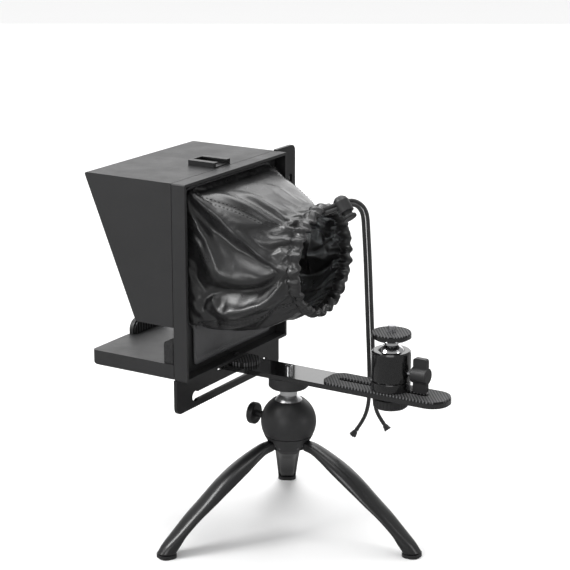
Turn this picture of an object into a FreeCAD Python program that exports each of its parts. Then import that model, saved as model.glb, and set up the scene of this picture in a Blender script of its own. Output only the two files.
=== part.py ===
"""Beam-splitter teleprompter for a phone, on a slotted extension bar and a folding table tripod.

Units are millimetres and +Z is up. +X runs back along the bar, towards the camera operator; the hood
looks out towards -X. The origin is on the table at the middle of the object's footprint, and the
tripod's centre line is at AXIS_X, AXIS_Y from it. Each piece is one solid in parts/NODE.step.
"""

import FreeCAD, Part
import math
import os

V = FreeCAD.Vector
X_AXIS, Y_AXIS, Z_AXIS = V(1, 0, 0), V(0, 1, 0), V(0, 0, 1)

# --- Driving dimensions -------------------------------------------------------------------------

# The footprint's middle, seen from the tripod's centre line.
AXIS_X, AXIS_Y = -1.64, 1.97

# Extension bar: a flat slotted strip, level, its middle over the tripod's stud.
BAR_UNDERSIDE = 137.0
BAR_THICK = 4.0
BAR_WIDTH = 32.0
BAR_REACH = 205.0
BAR_TONGUE = 9.0
BAR_SLOT_WIDTH = 6.5
BAR_SLOT_START, BAR_SLOT_END = 48.5, 130.0
BAR_PAD_START, BAR_PAD_CORNER = 38.0, 11.0
BAR_PAD_THICK = 1.5

# Mounting plate: the panel, the slotted arm below it and the slotted ear on the far side.
PLATE_TO_TRIPOD = 57.0
PLATE_THICK = 3.0
ARM_DROP = 29.5
ARM_NEAR_OVERHANG, ARM_FAR_OVERHANG = 0.5, 3.0
EAR_WIDTH = 30.5
EAR_RISE = 1.0
EAR_FOOT = 22.0
PLATE_CORNER = 6.0
PLATE_SLOT, EAR_SLOT = 6.6, 5.0
SLOT_EYE = 4.6
ARM_SLOT_LENGTH = 114.0
EAR_SLOT_LENGTH = 96.0
BAR_WINDOW_SIDE, BAR_WINDOW_BELOW = 4.5, 1.4

# Rear frame, hood and phone tray share one width.
FRAME_MIDDLE_Y = -3.0
FRAME_WIDTH = 154.0
FRAME_HEIGHT = 163.5
FRAME_DEPTH = 13.0
FRAME_WALL, FRAME_SEAM = 2.4, 0.5
FRAME_ABOVE_BAR = 3.3
HOOD_TOP_DEPTH = 85.5
HOOD_LOWER_DEPTH = 37.0
HOOD_WALL = 2.0
HOOD_LIP = 9.0
HOOD_BOTTOM = 44.8
TRAY_DEPTH = 82.5
TRAY_HEIGHT = 13.3
TRAY_WALL = 2.2
TRAY_COVER = 2.0
GLASS_THICK = 2.0
GLASS_LENGTH = 88.0
GLASS_FOOT_ABOVE_TRAY = 51.0
GLASS_FOOT_GAP = 4.6
RAIL_HEIGHT = 8.0
RAIL_WIDTH = 6.0
RAIL_GRIP = 3.0
LENS_WINDOW_HALF = 52.0
LENS_AXIS_ABOVE_FRAME = 98.0
BUMPER_DEPTH, BUMPER_HEIGHT = 10.0, 19.0

# Phone clamp: a sprung jaw that is drawn forwards out of the tray.
JAW_WIDTH = 50.6
JAW_THICK = 4.4
JAW_RISE = 12.5
JAW_PAD = 1.6
SLIDER_ARM_WIDTH = 18.0
CROSSBAR_WIDTH = 92.0
ROD_RADIUS = 2.0
ROD_SPACING = 76.0

# Accessory shoe on the hood.
SHOE_LENGTH = 26.0
SHOE_INNER = 18.8
SHOE_OPENING = 12.7
SHOE_WALL = 2.8
SHOE_FLOOR, SHOE_GAP, SHOE_LIP = 1.0, 2.3, 1.2

# Light shroud: (distance behind the plate, half width, half height, middle's height, corner).
SHROUD_WALL = 6.0
SHROUD_SECTIONS = [
    (2.5, 64.0, 56.5, 99.2, 14.0),
    (20.0, 63.0, 57.5, 98.0, 24.0),
    (45.0, 59.0, 57.0, 95.5, 38.0),
    (67.0, 52.0, 52.0, 95.0, 48.0),
    (83.0, 44.0, 45.0, 96.0, 43.9),
]
HEM_LENGTH = 11.0
HEM_INNER, HEM_OUTER = 37.5, 46.5
FLANGE_THICK = 2.5
FLANGE_SIDE_GAP, FLANGE_FOOT_GAP, FLANGE_TOP_GAP = 13.0, 6.5, 5.5

# Drawstring and its lock.
CORD_DIAMETER = 3.3
CORD_SPACING = 3.7
CORD_HOLE_GAP = 0.15
CORD_START = V(35.9, -4.6, 281.9)
CORD_WAY = V(0.437, 0.879, 0.186)
CORD_LOCK_RUN = 14.0
CORD_BEND_STEPS, CORD_BEND_RUN = 4, 7.0
CORD_HANG = [(1.0, 13.0), (2.8, 38.0), (5.2, 86.0), (7.4, 127.0), (8.0, 151.0)]
CORD_TAILS = {
    -1: [(-1.6, 14.0), (-6.0, 25.0), (-12.3, 34.5)],
    1: [(1.6, 11.5), (5.2, 19.0), (10.0, 24.5)],
}
KNOT_RADIUS, KNOT_REACH = 3.6, 3.0
LOCK_RADIUS, LOCK_LENGTH = 6.6, 14.5
LOCK_MIDDLE = V(45.3, 8.0, 286.0)
LOCK_LEAN = V(1.0, 0.0, -1.0)
PLUNGER_RADIUS, PLUNGER_TRAVEL = 4.3, 3.0

# Tripod ball head.
BALL_RADIUS, BALL_HEIGHT = 14.0, 108.0
BALL_GAP = 0.3
HOUSING_RADIUS, HOUSING_HEIGHT = 23.2, 96.8
HOUSING_MOUTH = 116.2
SKIRT_TOP, SKIRT_RADIUS, SKIRT_FOOT = 88.0, 20.6, 86.2
GROOVE = 0.7
CONE_RADIUS, CONE_SHOULDER, CONE_FOOT = 14.4, 74.0, 70.0
NECK_RADIUS = 7.2
DISC_RADIUS, DISC_THICK, DISC_EDGE = 16.7, 9.9, 1.3
STUD_RADIUS, SHANK_RADIUS = 3.17, 3.0
THREAD_START = 0.1
TRIPOD_STUD_RISE, TRIPOD_STUD_CHAMFER = 4.8, 0.6
LOCK_KNOB_RADIUS, LOCK_KNOB_THICK = 9.3, 6.0
LOCK_KNOB_HEIGHT, LOCK_KNOB_REACH = 98.0, 30.5
LOCK_KNOB_STALK = 3.0

# Legs: a pivot in the hub's cone, a curved leg and a rubber foot.
LEG_AZIMUTHS = [2.0, 122.0, 242.0]
LEG_PIN_REACH, LEG_PIN_HEIGHT, LEG_PIN_RADIUS = 12.5, 77.5, 1.6
LEG_PIN_LENGTH = 17.0
LEG_TONGUE, LEG_TONGUE_RADIUS = 10.0, 4.5
LEG_SLOT_GAP = 0.2
LEG_WIDTH, LEG_FOOT_WIDTH = 22.0, 16.0
FOOT_REACH = 116.0
FOOT_HEIGHT, FOOT_LENGTH, FOOT_CORNER = 3.0, 15.0, 6.0

# Mini ball head on the bar.
HEAD_X = 96.0
HEAD_RADIUS = 16.0
HEAD_BASE_HEIGHT = 7.5
HEAD_BODY_TOP = 175.0
HEAD_BALL_RADIUS, HEAD_BALL_HEIGHT = 12.0, 169.0
HEAD_NECK_RADIUS = 5.5
PLATFORM_HEIGHT, PLATFORM_THICK, PLATFORM_PAD = 184.0, 5.0, 1.0
CAMERA_STUD_RISE = 5.5
WING_AXIS_HEIGHT = 158.0
WING_SHAFT_RADIUS, WING_SHAFT_SHOWN = 2.3, 3.6
WING_HUB_RADIUS, WING_HUB_LENGTH = 6.6, 14.0
WING_SPAN, WING_WIDTH, WING_THICK = 28.4, 12.0, 4.6
THUMB_RADIUS, THUMB_HEIGHT = 14.2, 9.6

# Clearances and small fastenings.
RUN = 0.05
FACE_GAP = 0.3
SCREW_RADIUS, SCREW_HEAD_RADIUS, SCREW_HEAD = 1.5, 2.8, 1.6
FRAME_SCREW_RADIUS, FRAME_SCREW_HEAD = 2.5, 2.2

# --- Places worked out from them ----------------------------------------------------------------

BAR_TOP = BAR_UNDERSIDE + BAR_THICK
PLATE_REAR = -PLATE_TO_TRIPOD
PLATE_FRONT = PLATE_REAR - PLATE_THICK
BAR_TIP = PLATE_REAR + BAR_REACH
FRAME_BOTTOM = BAR_TOP + FRAME_ABOVE_BAR
FRAME_TOP = FRAME_BOTTOM + FRAME_HEIGHT
FRAME_NEAR = FRAME_MIDDLE_Y - FRAME_WIDTH / 2
FRAME_FAR = FRAME_MIDDLE_Y + FRAME_WIDTH / 2
FRAME_REAR = PLATE_FRONT + FRAME_DEPTH
TRAY_TOP = FRAME_BOTTOM + TRAY_HEIGHT
TRAY_FRONT = PLATE_FRONT - TRAY_DEPTH
HOOD_FOOT = FRAME_BOTTOM + HOOD_BOTTOM
LENS_HEIGHT = FRAME_BOTTOM + LENS_AXIS_ABOVE_FRAME
PAD_TOP = BAR_TOP + BAR_PAD_THICK
ROUND_PAD_RADIUS = 13.2
ROUND_PAD_X = FRAME_REAR + 3.5

pieces = {}


# --- Shape helpers ------------------------------------------------------------------------------

def box(x0, x1, y0, y1, z0, z1):
    return Part.makeBox(x1 - x0, y1 - y0, z1 - z0, V(x0, y0, z0))


def rod(start, direction, radius, length):
    return Part.makeCylinder(radius, length, start, direction)


def prism(points, push):
    """A straight-sided solid: the closed outline through the points, pushed along a vector."""
    return Part.Face(Part.makePolygon(points + points[:1])).extrude(push)


def turned(outline):
    """A solid of revolution about +Z from (radius, height) points."""
    points = [V(r, 0, z) for r, z in outline]
    return Part.Face(Part.makePolygon(points + points[:1])).revolve(V(), Z_AXIS, 360)


def aimed(shape, place, direction):
    """The shape, made about +Z at the origin, moved to a place and turned to a direction."""
    shape.Placement = FreeCAD.Placement(place, FreeCAD.Rotation(Z_AXIS, direction))
    return shape


def edges_along(shape, direction, keep=lambda middle: True):
    """Straight edges parallel to a direction whose middle passes the test."""
    chosen = []
    for edge in shape.Edges:
        if edge.Curve.TypeId != "Part::GeomLine":
            continue
        if abs(abs(edge.tangentAt(edge.FirstParameter).dot(direction)) - 1) < 1e-6:
            if keep(edge.CenterOfMass):
                chosen.append(edge)
    return chosen


def rounded(shape, radius, direction, keep=lambda middle: True):
    return shape.makeFillet(radius, edges_along(shape, direction, keep))


def slot_cutter(start, end, radius, push):
    """A round-ended slot from one centre to the other, cut along the push vector."""
    way = (end - start).normalize()
    side = way.cross(push).normalize() * radius
    tip, tail = end + way * radius, start - way * radius
    wire = Part.Wire([
        Part.LineSegment(start + side, end + side).toShape(),
        Part.Arc(end + side, tip, end - side).toShape(),
        Part.LineSegment(end - side, start - side).toShape(),
        Part.Arc(start - side, tail, start + side).toShape(),
    ])
    return Part.Face(wire).extrude(push)


# --- Tripod -------------------------------------------------------------------------------------

def turned_to_leg(shape, azimuth):
    shape.rotate(V(), Z_AXIS, azimuth)
    return shape


def tripod_hub():
    """The ball's round housing, its grooved skirt and the cone that holds the legs' pivots."""
    shell = Part.makeSphere(HOUSING_RADIUS, V(0, 0, HOUSING_HEIGHT))
    cap = box(-30, 30, -30, 30, HOUSING_MOUTH, HOUSING_MOUTH + 30)
    below = box(-30, 30, -30, 30, HOUSING_HEIGHT - 40, SKIRT_TOP)
    skirt_radius = math.sqrt(HOUSING_RADIUS ** 2 - (SKIRT_TOP - HOUSING_HEIGHT) ** 2)
    skirt = turned([
        (0, SKIRT_TOP), (skirt_radius, SKIRT_TOP), (SKIRT_RADIUS, SKIRT_FOOT),
        (SKIRT_RADIUS - GROOVE, SKIRT_FOOT - GROOVE / 2), (SKIRT_RADIUS, SKIRT_FOOT - GROOVE),
        (CONE_RADIUS, CONE_SHOULDER), (CONE_RADIUS - 2.4, CONE_FOOT + 1.0),
        (CONE_RADIUS - 4.6, CONE_FOOT), (0, CONE_FOOT),
    ])
    hub = shell.cut(cap).cut(below).fuse(skirt)
    hub = hub.cut(Part.makeSphere(BALL_RADIUS + BALL_GAP, V(0, 0, BALL_HEIGHT)))
    knob_way = V(math.cos(math.radians(LEG_AZIMUTHS[0] + 180)),
                 math.sin(math.radians(LEG_AZIMUTHS[0] + 180)), 0)
    hub = hub.cut(rod(V(0, 0, LOCK_KNOB_HEIGHT), knob_way, LOCK_KNOB_STALK + RUN, 40))
    half = LEG_TONGUE / 2 + LEG_SLOT_GAP
    inner = LEG_PIN_REACH - LEG_TONGUE_RADIUS - 0.5
    roof = LEG_PIN_HEIGHT + LEG_TONGUE_RADIUS + 1.0
    for azimuth in LEG_AZIMUTHS:
        hub = hub.cut(turned_to_leg(box(inner, 40, -half, half, CONE_FOOT - 1, roof), azimuth))
        hub = hub.cut(turned_to_leg(leg_pin(), azimuth))
    pieces["tripod_hub"] = hub.removeSplitter()


def leg_pin():
    start = V(LEG_PIN_REACH, -LEG_PIN_LENGTH / 2, LEG_PIN_HEIGHT)
    return rod(start, Y_AXIS, LEG_PIN_RADIUS, LEG_PIN_LENGTH)


def leg_side_outline():
    """The leg seen from its side: a knee-shaped back, a hollow belly and a round pivot end."""
    pin = V(LEG_PIN_REACH, 0, LEG_PIN_HEIGHT)
    top = pin + V(1.0, 0, LEG_TONGUE_RADIUS - 0.1)
    under = pin + V(2.0, 0, -LEG_TONGUE_RADIUS + 0.5)
    heel = V(FOOT_REACH + 7.0, 0, FOOT_HEIGHT)
    toe = V(FOOT_REACH - 6.0, 0, FOOT_HEIGHT)
    knee = V(FOOT_REACH - 33.5, 0, 42.5)
    belly = V(FOOT_REACH - 66.0, 0, 54.5)
    return Part.Wire([
        Part.Arc(top, V(52.0, 0, 67.2), knee).toShape(),
        Part.Arc(knee, V(FOOT_REACH - 11.5, 0, 23.6), heel).toShape(),
        Part.LineSegment(heel, toe).toShape(),
        Part.Arc(toe, V(FOOT_REACH - 30.0, 0, 30.5), belly).toShape(),
        Part.Arc(belly, V(33.0, 0, 66.0), under).toShape(),
        Part.Arc(under, pin - V(LEG_TONGUE_RADIUS, 0, 0), top).toShape(),
    ])


def leg_plan():
    """The leg seen from above: a narrow tongue that widens past the hub."""
    half_tongue, half_wide, half_foot = LEG_TONGUE / 2, LEG_WIDTH / 2, LEG_FOOT_WIDTH / 2
    side = [(0, half_tongue), (19.0, half_tongue), (27.0, 8.4), (44.0, half_wide),
            (80.0, half_wide), (FOOT_REACH + 12.0, half_foot)]
    points = [V(x, y, 0) for x, y in side] + [V(x, -y, 0) for x, y in reversed(side)]
    return prism(points, V(0, 0, 120))


def legs():
    bore = rod(V(LEG_PIN_REACH, -30, LEG_PIN_HEIGHT), Y_AXIS, LEG_PIN_RADIUS + RUN, 60)
    leg = Part.Face(leg_side_outline()).extrude(V(0, 60, 0))
    leg.translate(V(0, -30, 0))
    leg = leg.common(leg_plan())
    long_edges = [e for e in leg.Edges if e.Length > 25 and abs(e.CenterOfMass.y) > LEG_TONGUE / 2]
    leg = leg.makeFillet(2.6, long_edges).cut(bore)
    foot = box(FOOT_REACH - FOOT_LENGTH / 2, FOOT_REACH + FOOT_LENGTH / 2,
               -LEG_FOOT_WIDTH / 2, LEG_FOOT_WIDTH / 2, 0, FOOT_HEIGHT)
    foot = rounded(foot, FOOT_CORNER, Z_AXIS)
    for number, azimuth in enumerate(LEG_AZIMUTHS, start=1):
        pieces["leg_%d" % number] = turned_to_leg(leg.copy(), azimuth)
        pieces["foot_pad_%d" % number] = turned_to_leg(foot.copy(), azimuth)
        pieces["leg_pin_%d" % number] = turned_to_leg(leg_pin(), azimuth)


def lock_knob():
    """The thumb wheel that clamps the ball, on a stalk through the housing's wall."""
    stalk = rod(V(0, 0, 16.0), Z_AXIS, LOCK_KNOB_STALK, LOCK_KNOB_REACH - 16.0)
    wheel = rod(V(0, 0, LOCK_KNOB_REACH), Z_AXIS, LOCK_KNOB_RADIUS, LOCK_KNOB_THICK)
    wheel = wheel.makeFillet(1.4, [e for e in wheel.Edges if e.Length > 30])
    azimuth = math.radians(LEG_AZIMUTHS[0] + 180)
    way = V(math.cos(azimuth), math.sin(azimuth), 0)
    pieces["lock_knob"] = aimed(stalk.fuse(wheel), V(0, 0, LOCK_KNOB_HEIGHT), way)


def tripod_ball():
    """The ball, the neck that rides on it, the seat disc and the stud that holds the bar."""
    ball = Part.makeSphere(BALL_RADIUS, V(0, 0, BALL_HEIGHT))
    disc_bottom = BAR_UNDERSIDE - DISC_THICK
    neck = turned([
        (0, BALL_HEIGHT), (NECK_RADIUS, BALL_HEIGHT), (NECK_RADIUS, disc_bottom - 2.5),
        (NECK_RADIUS + 2.0, disc_bottom), (0, disc_bottom),
    ])
    pieces["support_ball"] = ball
    pieces["support_neck"] = neck.cut(Part.makeSphere(BALL_RADIUS + BALL_GAP, V(0, 0, BALL_HEIGHT)))
    disc = turned([
        (SHANK_RADIUS, disc_bottom), (DISC_RADIUS - DISC_EDGE, disc_bottom),
        (DISC_RADIUS, disc_bottom + DISC_EDGE),
        (DISC_RADIUS, BAR_UNDERSIDE), (SHANK_RADIUS, BAR_UNDERSIDE),
    ])
    pieces["seat_disc"] = disc
    tip = BAR_TOP + TRIPOD_STUD_RISE
    pieces["tripod_stud"] = turned([
        (0, disc_bottom), (SHANK_RADIUS, disc_bottom), (SHANK_RADIUS, BAR_TOP + THREAD_START),
        (STUD_RADIUS, BAR_TOP + THREAD_START), (STUD_RADIUS, tip - TRIPOD_STUD_CHAMFER),
        (STUD_RADIUS - TRIPOD_STUD_CHAMFER, tip), (0, tip),
    ])


# --- Bar and mounting plate ---------------------------------------------------------------------

def strip(x0, x1, half_width, z0, z1, tip_radius):
    """A flat strip along X with its far end rounded."""
    shape = box(x0, x1, -half_width, half_width, z0, z1)
    return rounded(shape, tip_radius, Z_AXIS, lambda middle: middle.x > x1 - 1)


def bar():
    half = BAR_WIDTH / 2
    shape = strip(PLATE_REAR - BAR_TONGUE, BAR_TIP, half, BAR_UNDERSIDE, BAR_TOP, half - 1.5)
    shape = rounded(shape, 5.0, Z_AXIS, lambda middle: middle.x < PLATE_REAR)
    start = V(BAR_SLOT_START + BAR_SLOT_WIDTH / 2, 0, BAR_UNDERSIDE - 5)
    end = V(BAR_SLOT_END - BAR_SLOT_WIDTH / 2, 0, BAR_UNDERSIDE - 5)
    slot = slot_cutter(start, end, BAR_SLOT_WIDTH / 2, V(0, 0, 20))
    stud_hole = rod(V(0, 0, BAR_UNDERSIDE - 1), Z_AXIS, SHANK_RADIUS + RUN, BAR_THICK + 2)
    screw_hole = rod(V(frame_screw_x(), 0, BAR_UNDERSIDE - 1), Z_AXIS, FRAME_SCREW_RADIUS, 20)
    pieces["extension_bar"] = shape.cut(slot).cut(stud_hole).cut(screw_hole)
    pad = strip(BAR_PAD_START, BAR_TIP - 0.6, half - 0.6, BAR_TOP, PAD_TOP, half - 2.1)
    pad = rounded(pad, BAR_PAD_CORNER, Z_AXIS, lambda middle: middle.x < BAR_PAD_START + 1)
    pieces["bar_pad"] = pad.cut(slot)
    round_pad = rod(V(ROUND_PAD_X, 0, BAR_TOP), Z_AXIS, ROUND_PAD_RADIUS, FRAME_ABOVE_BAR)
    behind_plate = box(PLATE_REAR, 0, -40, 40, BAR_TOP - 1, FRAME_BOTTOM + 1)
    pieces["round_pad"] = round_pad.common(behind_plate).cut(screw_hole)


def frame_screw_x():
    return (PLATE_REAR + FRAME_REAR) / 2


def frame_screw():
    """The screw from under the bar that pulls it up against the frame's floor."""
    shank_length = BAR_THICK + FRAME_ABOVE_BAR + FRAME_WALL + 2.0
    head = rod(V(0, 0, -FRAME_SCREW_HEAD), Z_AXIS, 4.4, FRAME_SCREW_HEAD)
    screw = head.fuse(rod(V(), Z_AXIS, FRAME_SCREW_RADIUS, shank_length))
    screw = screw.cut(rod(V(0, 0, -FRAME_SCREW_HEAD - 1), Z_AXIS, 1.5, 2.4))
    screw.translate(V(frame_screw_x(), 0, BAR_UNDERSIDE))
    pieces["frame_screw"] = screw


def plate_blank():
    """The plate's outline before its windows: panel, lower arm and side ear."""
    inner_near, inner_far = FRAME_NEAR + FRAME_WALL, FRAME_FAR - FRAME_WALL
    panel = box(PLATE_FRONT, PLATE_REAR, inner_near, inner_far, FRAME_BOTTOM, FRAME_TOP - FRAME_WALL)
    arm = box(PLATE_FRONT, PLATE_REAR, FRAME_NEAR - ARM_NEAR_OVERHANG, FRAME_FAR + ARM_FAR_OVERHANG,
              FRAME_BOTTOM - ARM_DROP, FRAME_BOTTOM)
    arm = rounded(arm, PLATE_CORNER, X_AXIS, lambda middle: middle.z < FRAME_BOTTOM - 10)
    ear = box(PLATE_FRONT, PLATE_REAR, FRAME_FAR, FRAME_FAR + EAR_WIDTH,
              FRAME_BOTTOM + EAR_FOOT, FRAME_TOP + EAR_RISE)
    ear = rounded(ear, PLATE_CORNER, X_AXIS, lambda middle: middle.y > FRAME_FAR + 5)
    bridge = box(PLATE_FRONT, PLATE_REAR, inner_far, FRAME_FAR,
                 FRAME_BOTTOM + EAR_FOOT, FRAME_TOP - FRAME_WALL)
    return panel.fuse(arm).fuse(ear).fuse(bridge).removeSplitter()


def screw_places():
    """Where the four screws go through the plate's corners into the hood's lip."""
    inset = FRAME_WALL + HOOD_LIP / 2
    for y in (FRAME_NEAR + inset, FRAME_FAR - inset):
        for z in (HOOD_FOOT + 12.0, FRAME_TOP - 16.0):
            yield V(PLATE_FRONT, y, z)


def mount_plate():
    plate = plate_blank()
    through = V(PLATE_THICK + 2, 0, 0)
    front = PLATE_FRONT - 1
    middle_y, half = FRAME_MIDDLE_Y, LENS_WINDOW_HALF
    window = box(front, PLATE_REAR + 1, middle_y - half, middle_y + half,
                 LENS_HEIGHT - half + 6, LENS_HEIGHT + half - 4)
    window = rounded(window, 12.0, X_AXIS)
    bar_half = BAR_WIDTH / 2 + BAR_WINDOW_SIDE
    bar_window = box(front, PLATE_REAR + 1, -bar_half, bar_half,
                     BAR_UNDERSIDE - BAR_WINDOW_BELOW, FRAME_BOTTOM)
    arm_z = FRAME_BOTTOM - ARM_DROP + 9.2
    reach = (ARM_SLOT_LENGTH - PLATE_SLOT) / 2
    left, right = V(front, -reach, arm_z), V(front, reach, arm_z)
    arm_slot = slot_cutter(left, right, PLATE_SLOT / 2, through)
    ear_y = FRAME_FAR + ARM_FAR_OVERHANG + (EAR_WIDTH - ARM_FAR_OVERHANG) * 0.72
    ear_reach = (EAR_SLOT_LENGTH - EAR_SLOT) / 2
    ear_z = FRAME_BOTTOM + FRAME_HEIGHT / 2 + 10.0
    low, high = V(front, ear_y, ear_z - ear_reach), V(front, ear_y, ear_z + ear_reach)
    ear_slot = slot_cutter(low, high, EAR_SLOT / 2, through)
    plate = plate.cut(window).cut(bar_window).cut(arm_slot).cut(ear_slot)
    for eye in (left, right):
        plate = plate.cut(rod(eye, X_AXIS, SLOT_EYE, PLATE_THICK + 2))
    for place in screw_places():
        plate = plate.cut(rod(place - V(1, 0, 0), X_AXIS, SCREW_RADIUS, PLATE_THICK + 2))
    pieces["mount_plate"] = plate


# --- Rear frame and hood ------------------------------------------------------------------------

def rear_frame():
    """A shallow ring around the plate, notched where the plate's arm and ear pass out of it."""
    outer = box(PLATE_FRONT, FRAME_REAR, FRAME_NEAR, FRAME_FAR, FRAME_BOTTOM, FRAME_TOP)
    outer = rounded(outer, 1.2, X_AXIS)
    seam_edges = [e for e in outer.Edges if e.BoundBox.XMax < PLATE_FRONT + 0.1]
    outer = outer.makeChamfer(FRAME_SEAM, seam_edges)
    wall = FRAME_WALL
    inner = box(PLATE_FRONT - 1, FRAME_REAR + 1, FRAME_NEAR + wall, FRAME_FAR - wall,
                FRAME_BOTTOM + wall, FRAME_TOP - wall)
    screw_hole = rod(V(frame_screw_x(), 0, FRAME_BOTTOM - 1), Z_AXIS, FRAME_SCREW_RADIUS, 10)
    ring = outer.cut(inner).cut(plate_blank()).cut(screw_hole)
    pieces["rear_frame"] = ring


def hood_shell():
    """Top panel and two cut-back cheeks, with a lip round the back for the screws."""
    side = [V(PLATE_FRONT, 0, FRAME_TOP), V(PLATE_FRONT - HOOD_TOP_DEPTH, 0, FRAME_TOP),
            V(PLATE_FRONT - HOOD_LOWER_DEPTH, 0, HOOD_FOOT), V(PLATE_FRONT, 0, HOOD_FOOT)]
    solid = prism(side, V(0, FRAME_WIDTH, 0))
    solid.translate(V(0, FRAME_NEAR, 0))
    solid = rounded(solid, 4.0, Y_AXIS, lambda m: m.z < HOOD_FOOT + 1 and m.x < PLATE_FRONT - 1)
    solid = rounded(solid, 1.6, Y_AXIS, lambda m: m.z > FRAME_TOP - 1 and m.x < PLATE_FRONT - 1)
    wall = HOOD_WALL
    hollow = box(PLATE_FRONT - HOOD_TOP_DEPTH - 5, PLATE_FRONT - wall, FRAME_NEAR + wall,
                 FRAME_FAR - wall, HOOD_FOOT - 5, FRAME_TOP - wall)
    lip = wall + HOOD_LIP
    way_through = box(PLATE_FRONT - wall - 1, PLATE_FRONT + 1, FRAME_NEAR + lip, FRAME_FAR - lip,
                      HOOD_FOOT - 5, FRAME_TOP - lip)
    hood = solid.cut(hollow).cut(way_through)
    for place in screw_places():
        hood = hood.cut(rod(place - V(wall + 1, 0, 0), X_AXIS, SCREW_RADIUS, wall + 2))
    pieces["hood_shell"] = hood


def plate_screws():
    """Round-headed screws through the hood's lip and the plate."""
    length = HOOD_WALL + PLATE_THICK
    for number, place in enumerate(screw_places(), start=1):
        shank = rod(place - V(HOOD_WALL, 0, 0), X_AXIS, SCREW_RADIUS, length)
        head = rod(place - V(HOOD_WALL + SCREW_HEAD, 0, 0), X_AXIS, SCREW_HEAD_RADIUS, SCREW_HEAD)
        pieces["plate_screw_%d" % number] = shank.fuse(head)


def glass_band(half_thick, length, near, far):
    """A slab along the mirror's 45 degree line, between two Y positions."""
    foot = V(PLATE_FRONT - GLASS_FOOT_GAP, near, TRAY_TOP + GLASS_FOOT_ABOVE_TRAY)
    up = V(-1, 0, 1).normalize()
    across = V(1, 0, 1).normalize() * half_thick
    points = [foot - across, foot + across, foot + up * length + across, foot + up * length - across]
    return prism(points, V(0, far - near, 0))


def mirror():
    """The half-silvered glass and the two grooved rails that hold it at 45 degrees."""
    near, far = FRAME_NEAR + HOOD_WALL, FRAME_FAR - HOOD_WALL
    bite = RAIL_WIDTH - RAIL_GRIP
    glass = glass_band(GLASS_THICK / 2, GLASS_LENGTH, near + bite, far - bite)
    pieces["mirror_glass"] = glass
    near_rail = glass_band(RAIL_HEIGHT / 2, GLASS_LENGTH, near, near + RAIL_WIDTH)
    far_rail = glass_band(RAIL_HEIGHT / 2, GLASS_LENGTH, far - RAIL_WIDTH, far)
    lip_clear = box(PLATE_FRONT - HOOD_WALL, PLATE_FRONT, near, far, HOOD_FOOT, FRAME_TOP)
    pieces["glass_rail_near"] = near_rail.cut(glass).cut(lip_clear)
    pieces["glass_rail_far"] = far_rail.cut(glass).cut(lip_clear)


def cold_shoe():
    """A C-shaped rail on the hood's roof for a light or a microphone."""
    half = SHOE_INNER / 2 + SHOE_WALL
    rear = PLATE_FRONT - 2.0
    front = rear - SHOE_LENGTH
    y = FRAME_MIDDLE_Y
    roof = FRAME_TOP + SHOE_FLOOR + SHOE_GAP + SHOE_LIP
    shoe = rounded(box(front, rear, y - half, y + half, FRAME_TOP, roof), 0.8, Z_AXIS)
    under = FRAME_TOP + SHOE_FLOOR
    shoe = shoe.cut(box(front + 1.5, rear + 1, y - SHOE_INNER / 2, y + SHOE_INNER / 2,
                        under, under + SHOE_GAP))
    shoe = shoe.cut(box(front + 1.5, rear + 1, y - SHOE_OPENING / 2, y + SHOE_OPENING / 2,
                        under, roof + 1))
    pieces["cold_shoe"] = shoe


# --- Phone tray and clamp -----------------------------------------------------------------------

def tray_screw_places():
    inset = TRAY_WALL + 5.0
    for y in (FRAME_NEAR + inset, FRAME_FAR - inset):
        yield V(PLATE_FRONT - TRAY_DEPTH / 2, y, FRAME_BOTTOM)


def rod_places():
    for side in (-1, 1):
        yield FRAME_MIDDLE_Y + side * ROD_SPACING / 2


def slider_height():
    return (FRAME_BOTTOM + TRAY_COVER + TRAY_TOP - TRAY_WALL) / 2


def phone_tray():
    """The shallow box that the phone lies on, open below, with a notch for the jaw."""
    wall = TRAY_WALL
    tray = box(TRAY_FRONT, PLATE_FRONT, FRAME_NEAR, FRAME_FAR, FRAME_BOTTOM, TRAY_TOP)
    tray = rounded(tray, 2.6, Y_AXIS, lambda m: m.z < FRAME_BOTTOM + 1 and m.x < TRAY_FRONT + 1)
    tray = rounded(tray, 3.6, Z_AXIS, lambda m: m.x < TRAY_FRONT + 1)
    hollow = box(TRAY_FRONT + wall, PLATE_FRONT - wall, FRAME_NEAR + wall, FRAME_FAR - wall,
                 FRAME_BOTTOM - 1, TRAY_TOP - wall)
    tray = tray.cut(hollow)
    boss_top = TRAY_TOP - wall
    for place in tray_screw_places():
        boss_foot = FRAME_BOTTOM + TRAY_COVER
        tray = tray.fuse(rod(V(place.x, place.y, boss_foot), Z_AXIS, 3.6, boss_top - boss_foot))
        tray = tray.cut(rod(place, Z_AXIS, SCREW_RADIUS, 9.0))
    half = JAW_WIDTH / 2 + FACE_GAP
    y = FRAME_MIDDLE_Y
    notch = box(TRAY_FRONT - 1, TRAY_FRONT + JAW_THICK + FACE_GAP, y - half, y + half,
                slider_height() - 4.2, TRAY_TOP + 1)
    pieces["phone_tray"] = tray.cut(notch).removeSplitter()


def tray_cover():
    """The plate that closes the tray from below, and its screws."""
    gap = 0.15
    wall = TRAY_WALL + gap
    cover = box(TRAY_FRONT + wall, PLATE_FRONT - wall, FRAME_NEAR + wall, FRAME_FAR - wall,
                FRAME_BOTTOM, FRAME_BOTTOM + TRAY_COVER)
    for number, place in enumerate(tray_screw_places(), start=1):
        head = rod(place, Z_AXIS, SCREW_HEAD_RADIUS, 1.2)
        screw = head.fuse(rod(place, Z_AXIS, SCREW_RADIUS, 8.0))
        cover = cover.cut(screw)
        pieces["tray_screw_%d" % number] = screw
    pieces["tray_cover"] = cover


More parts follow.
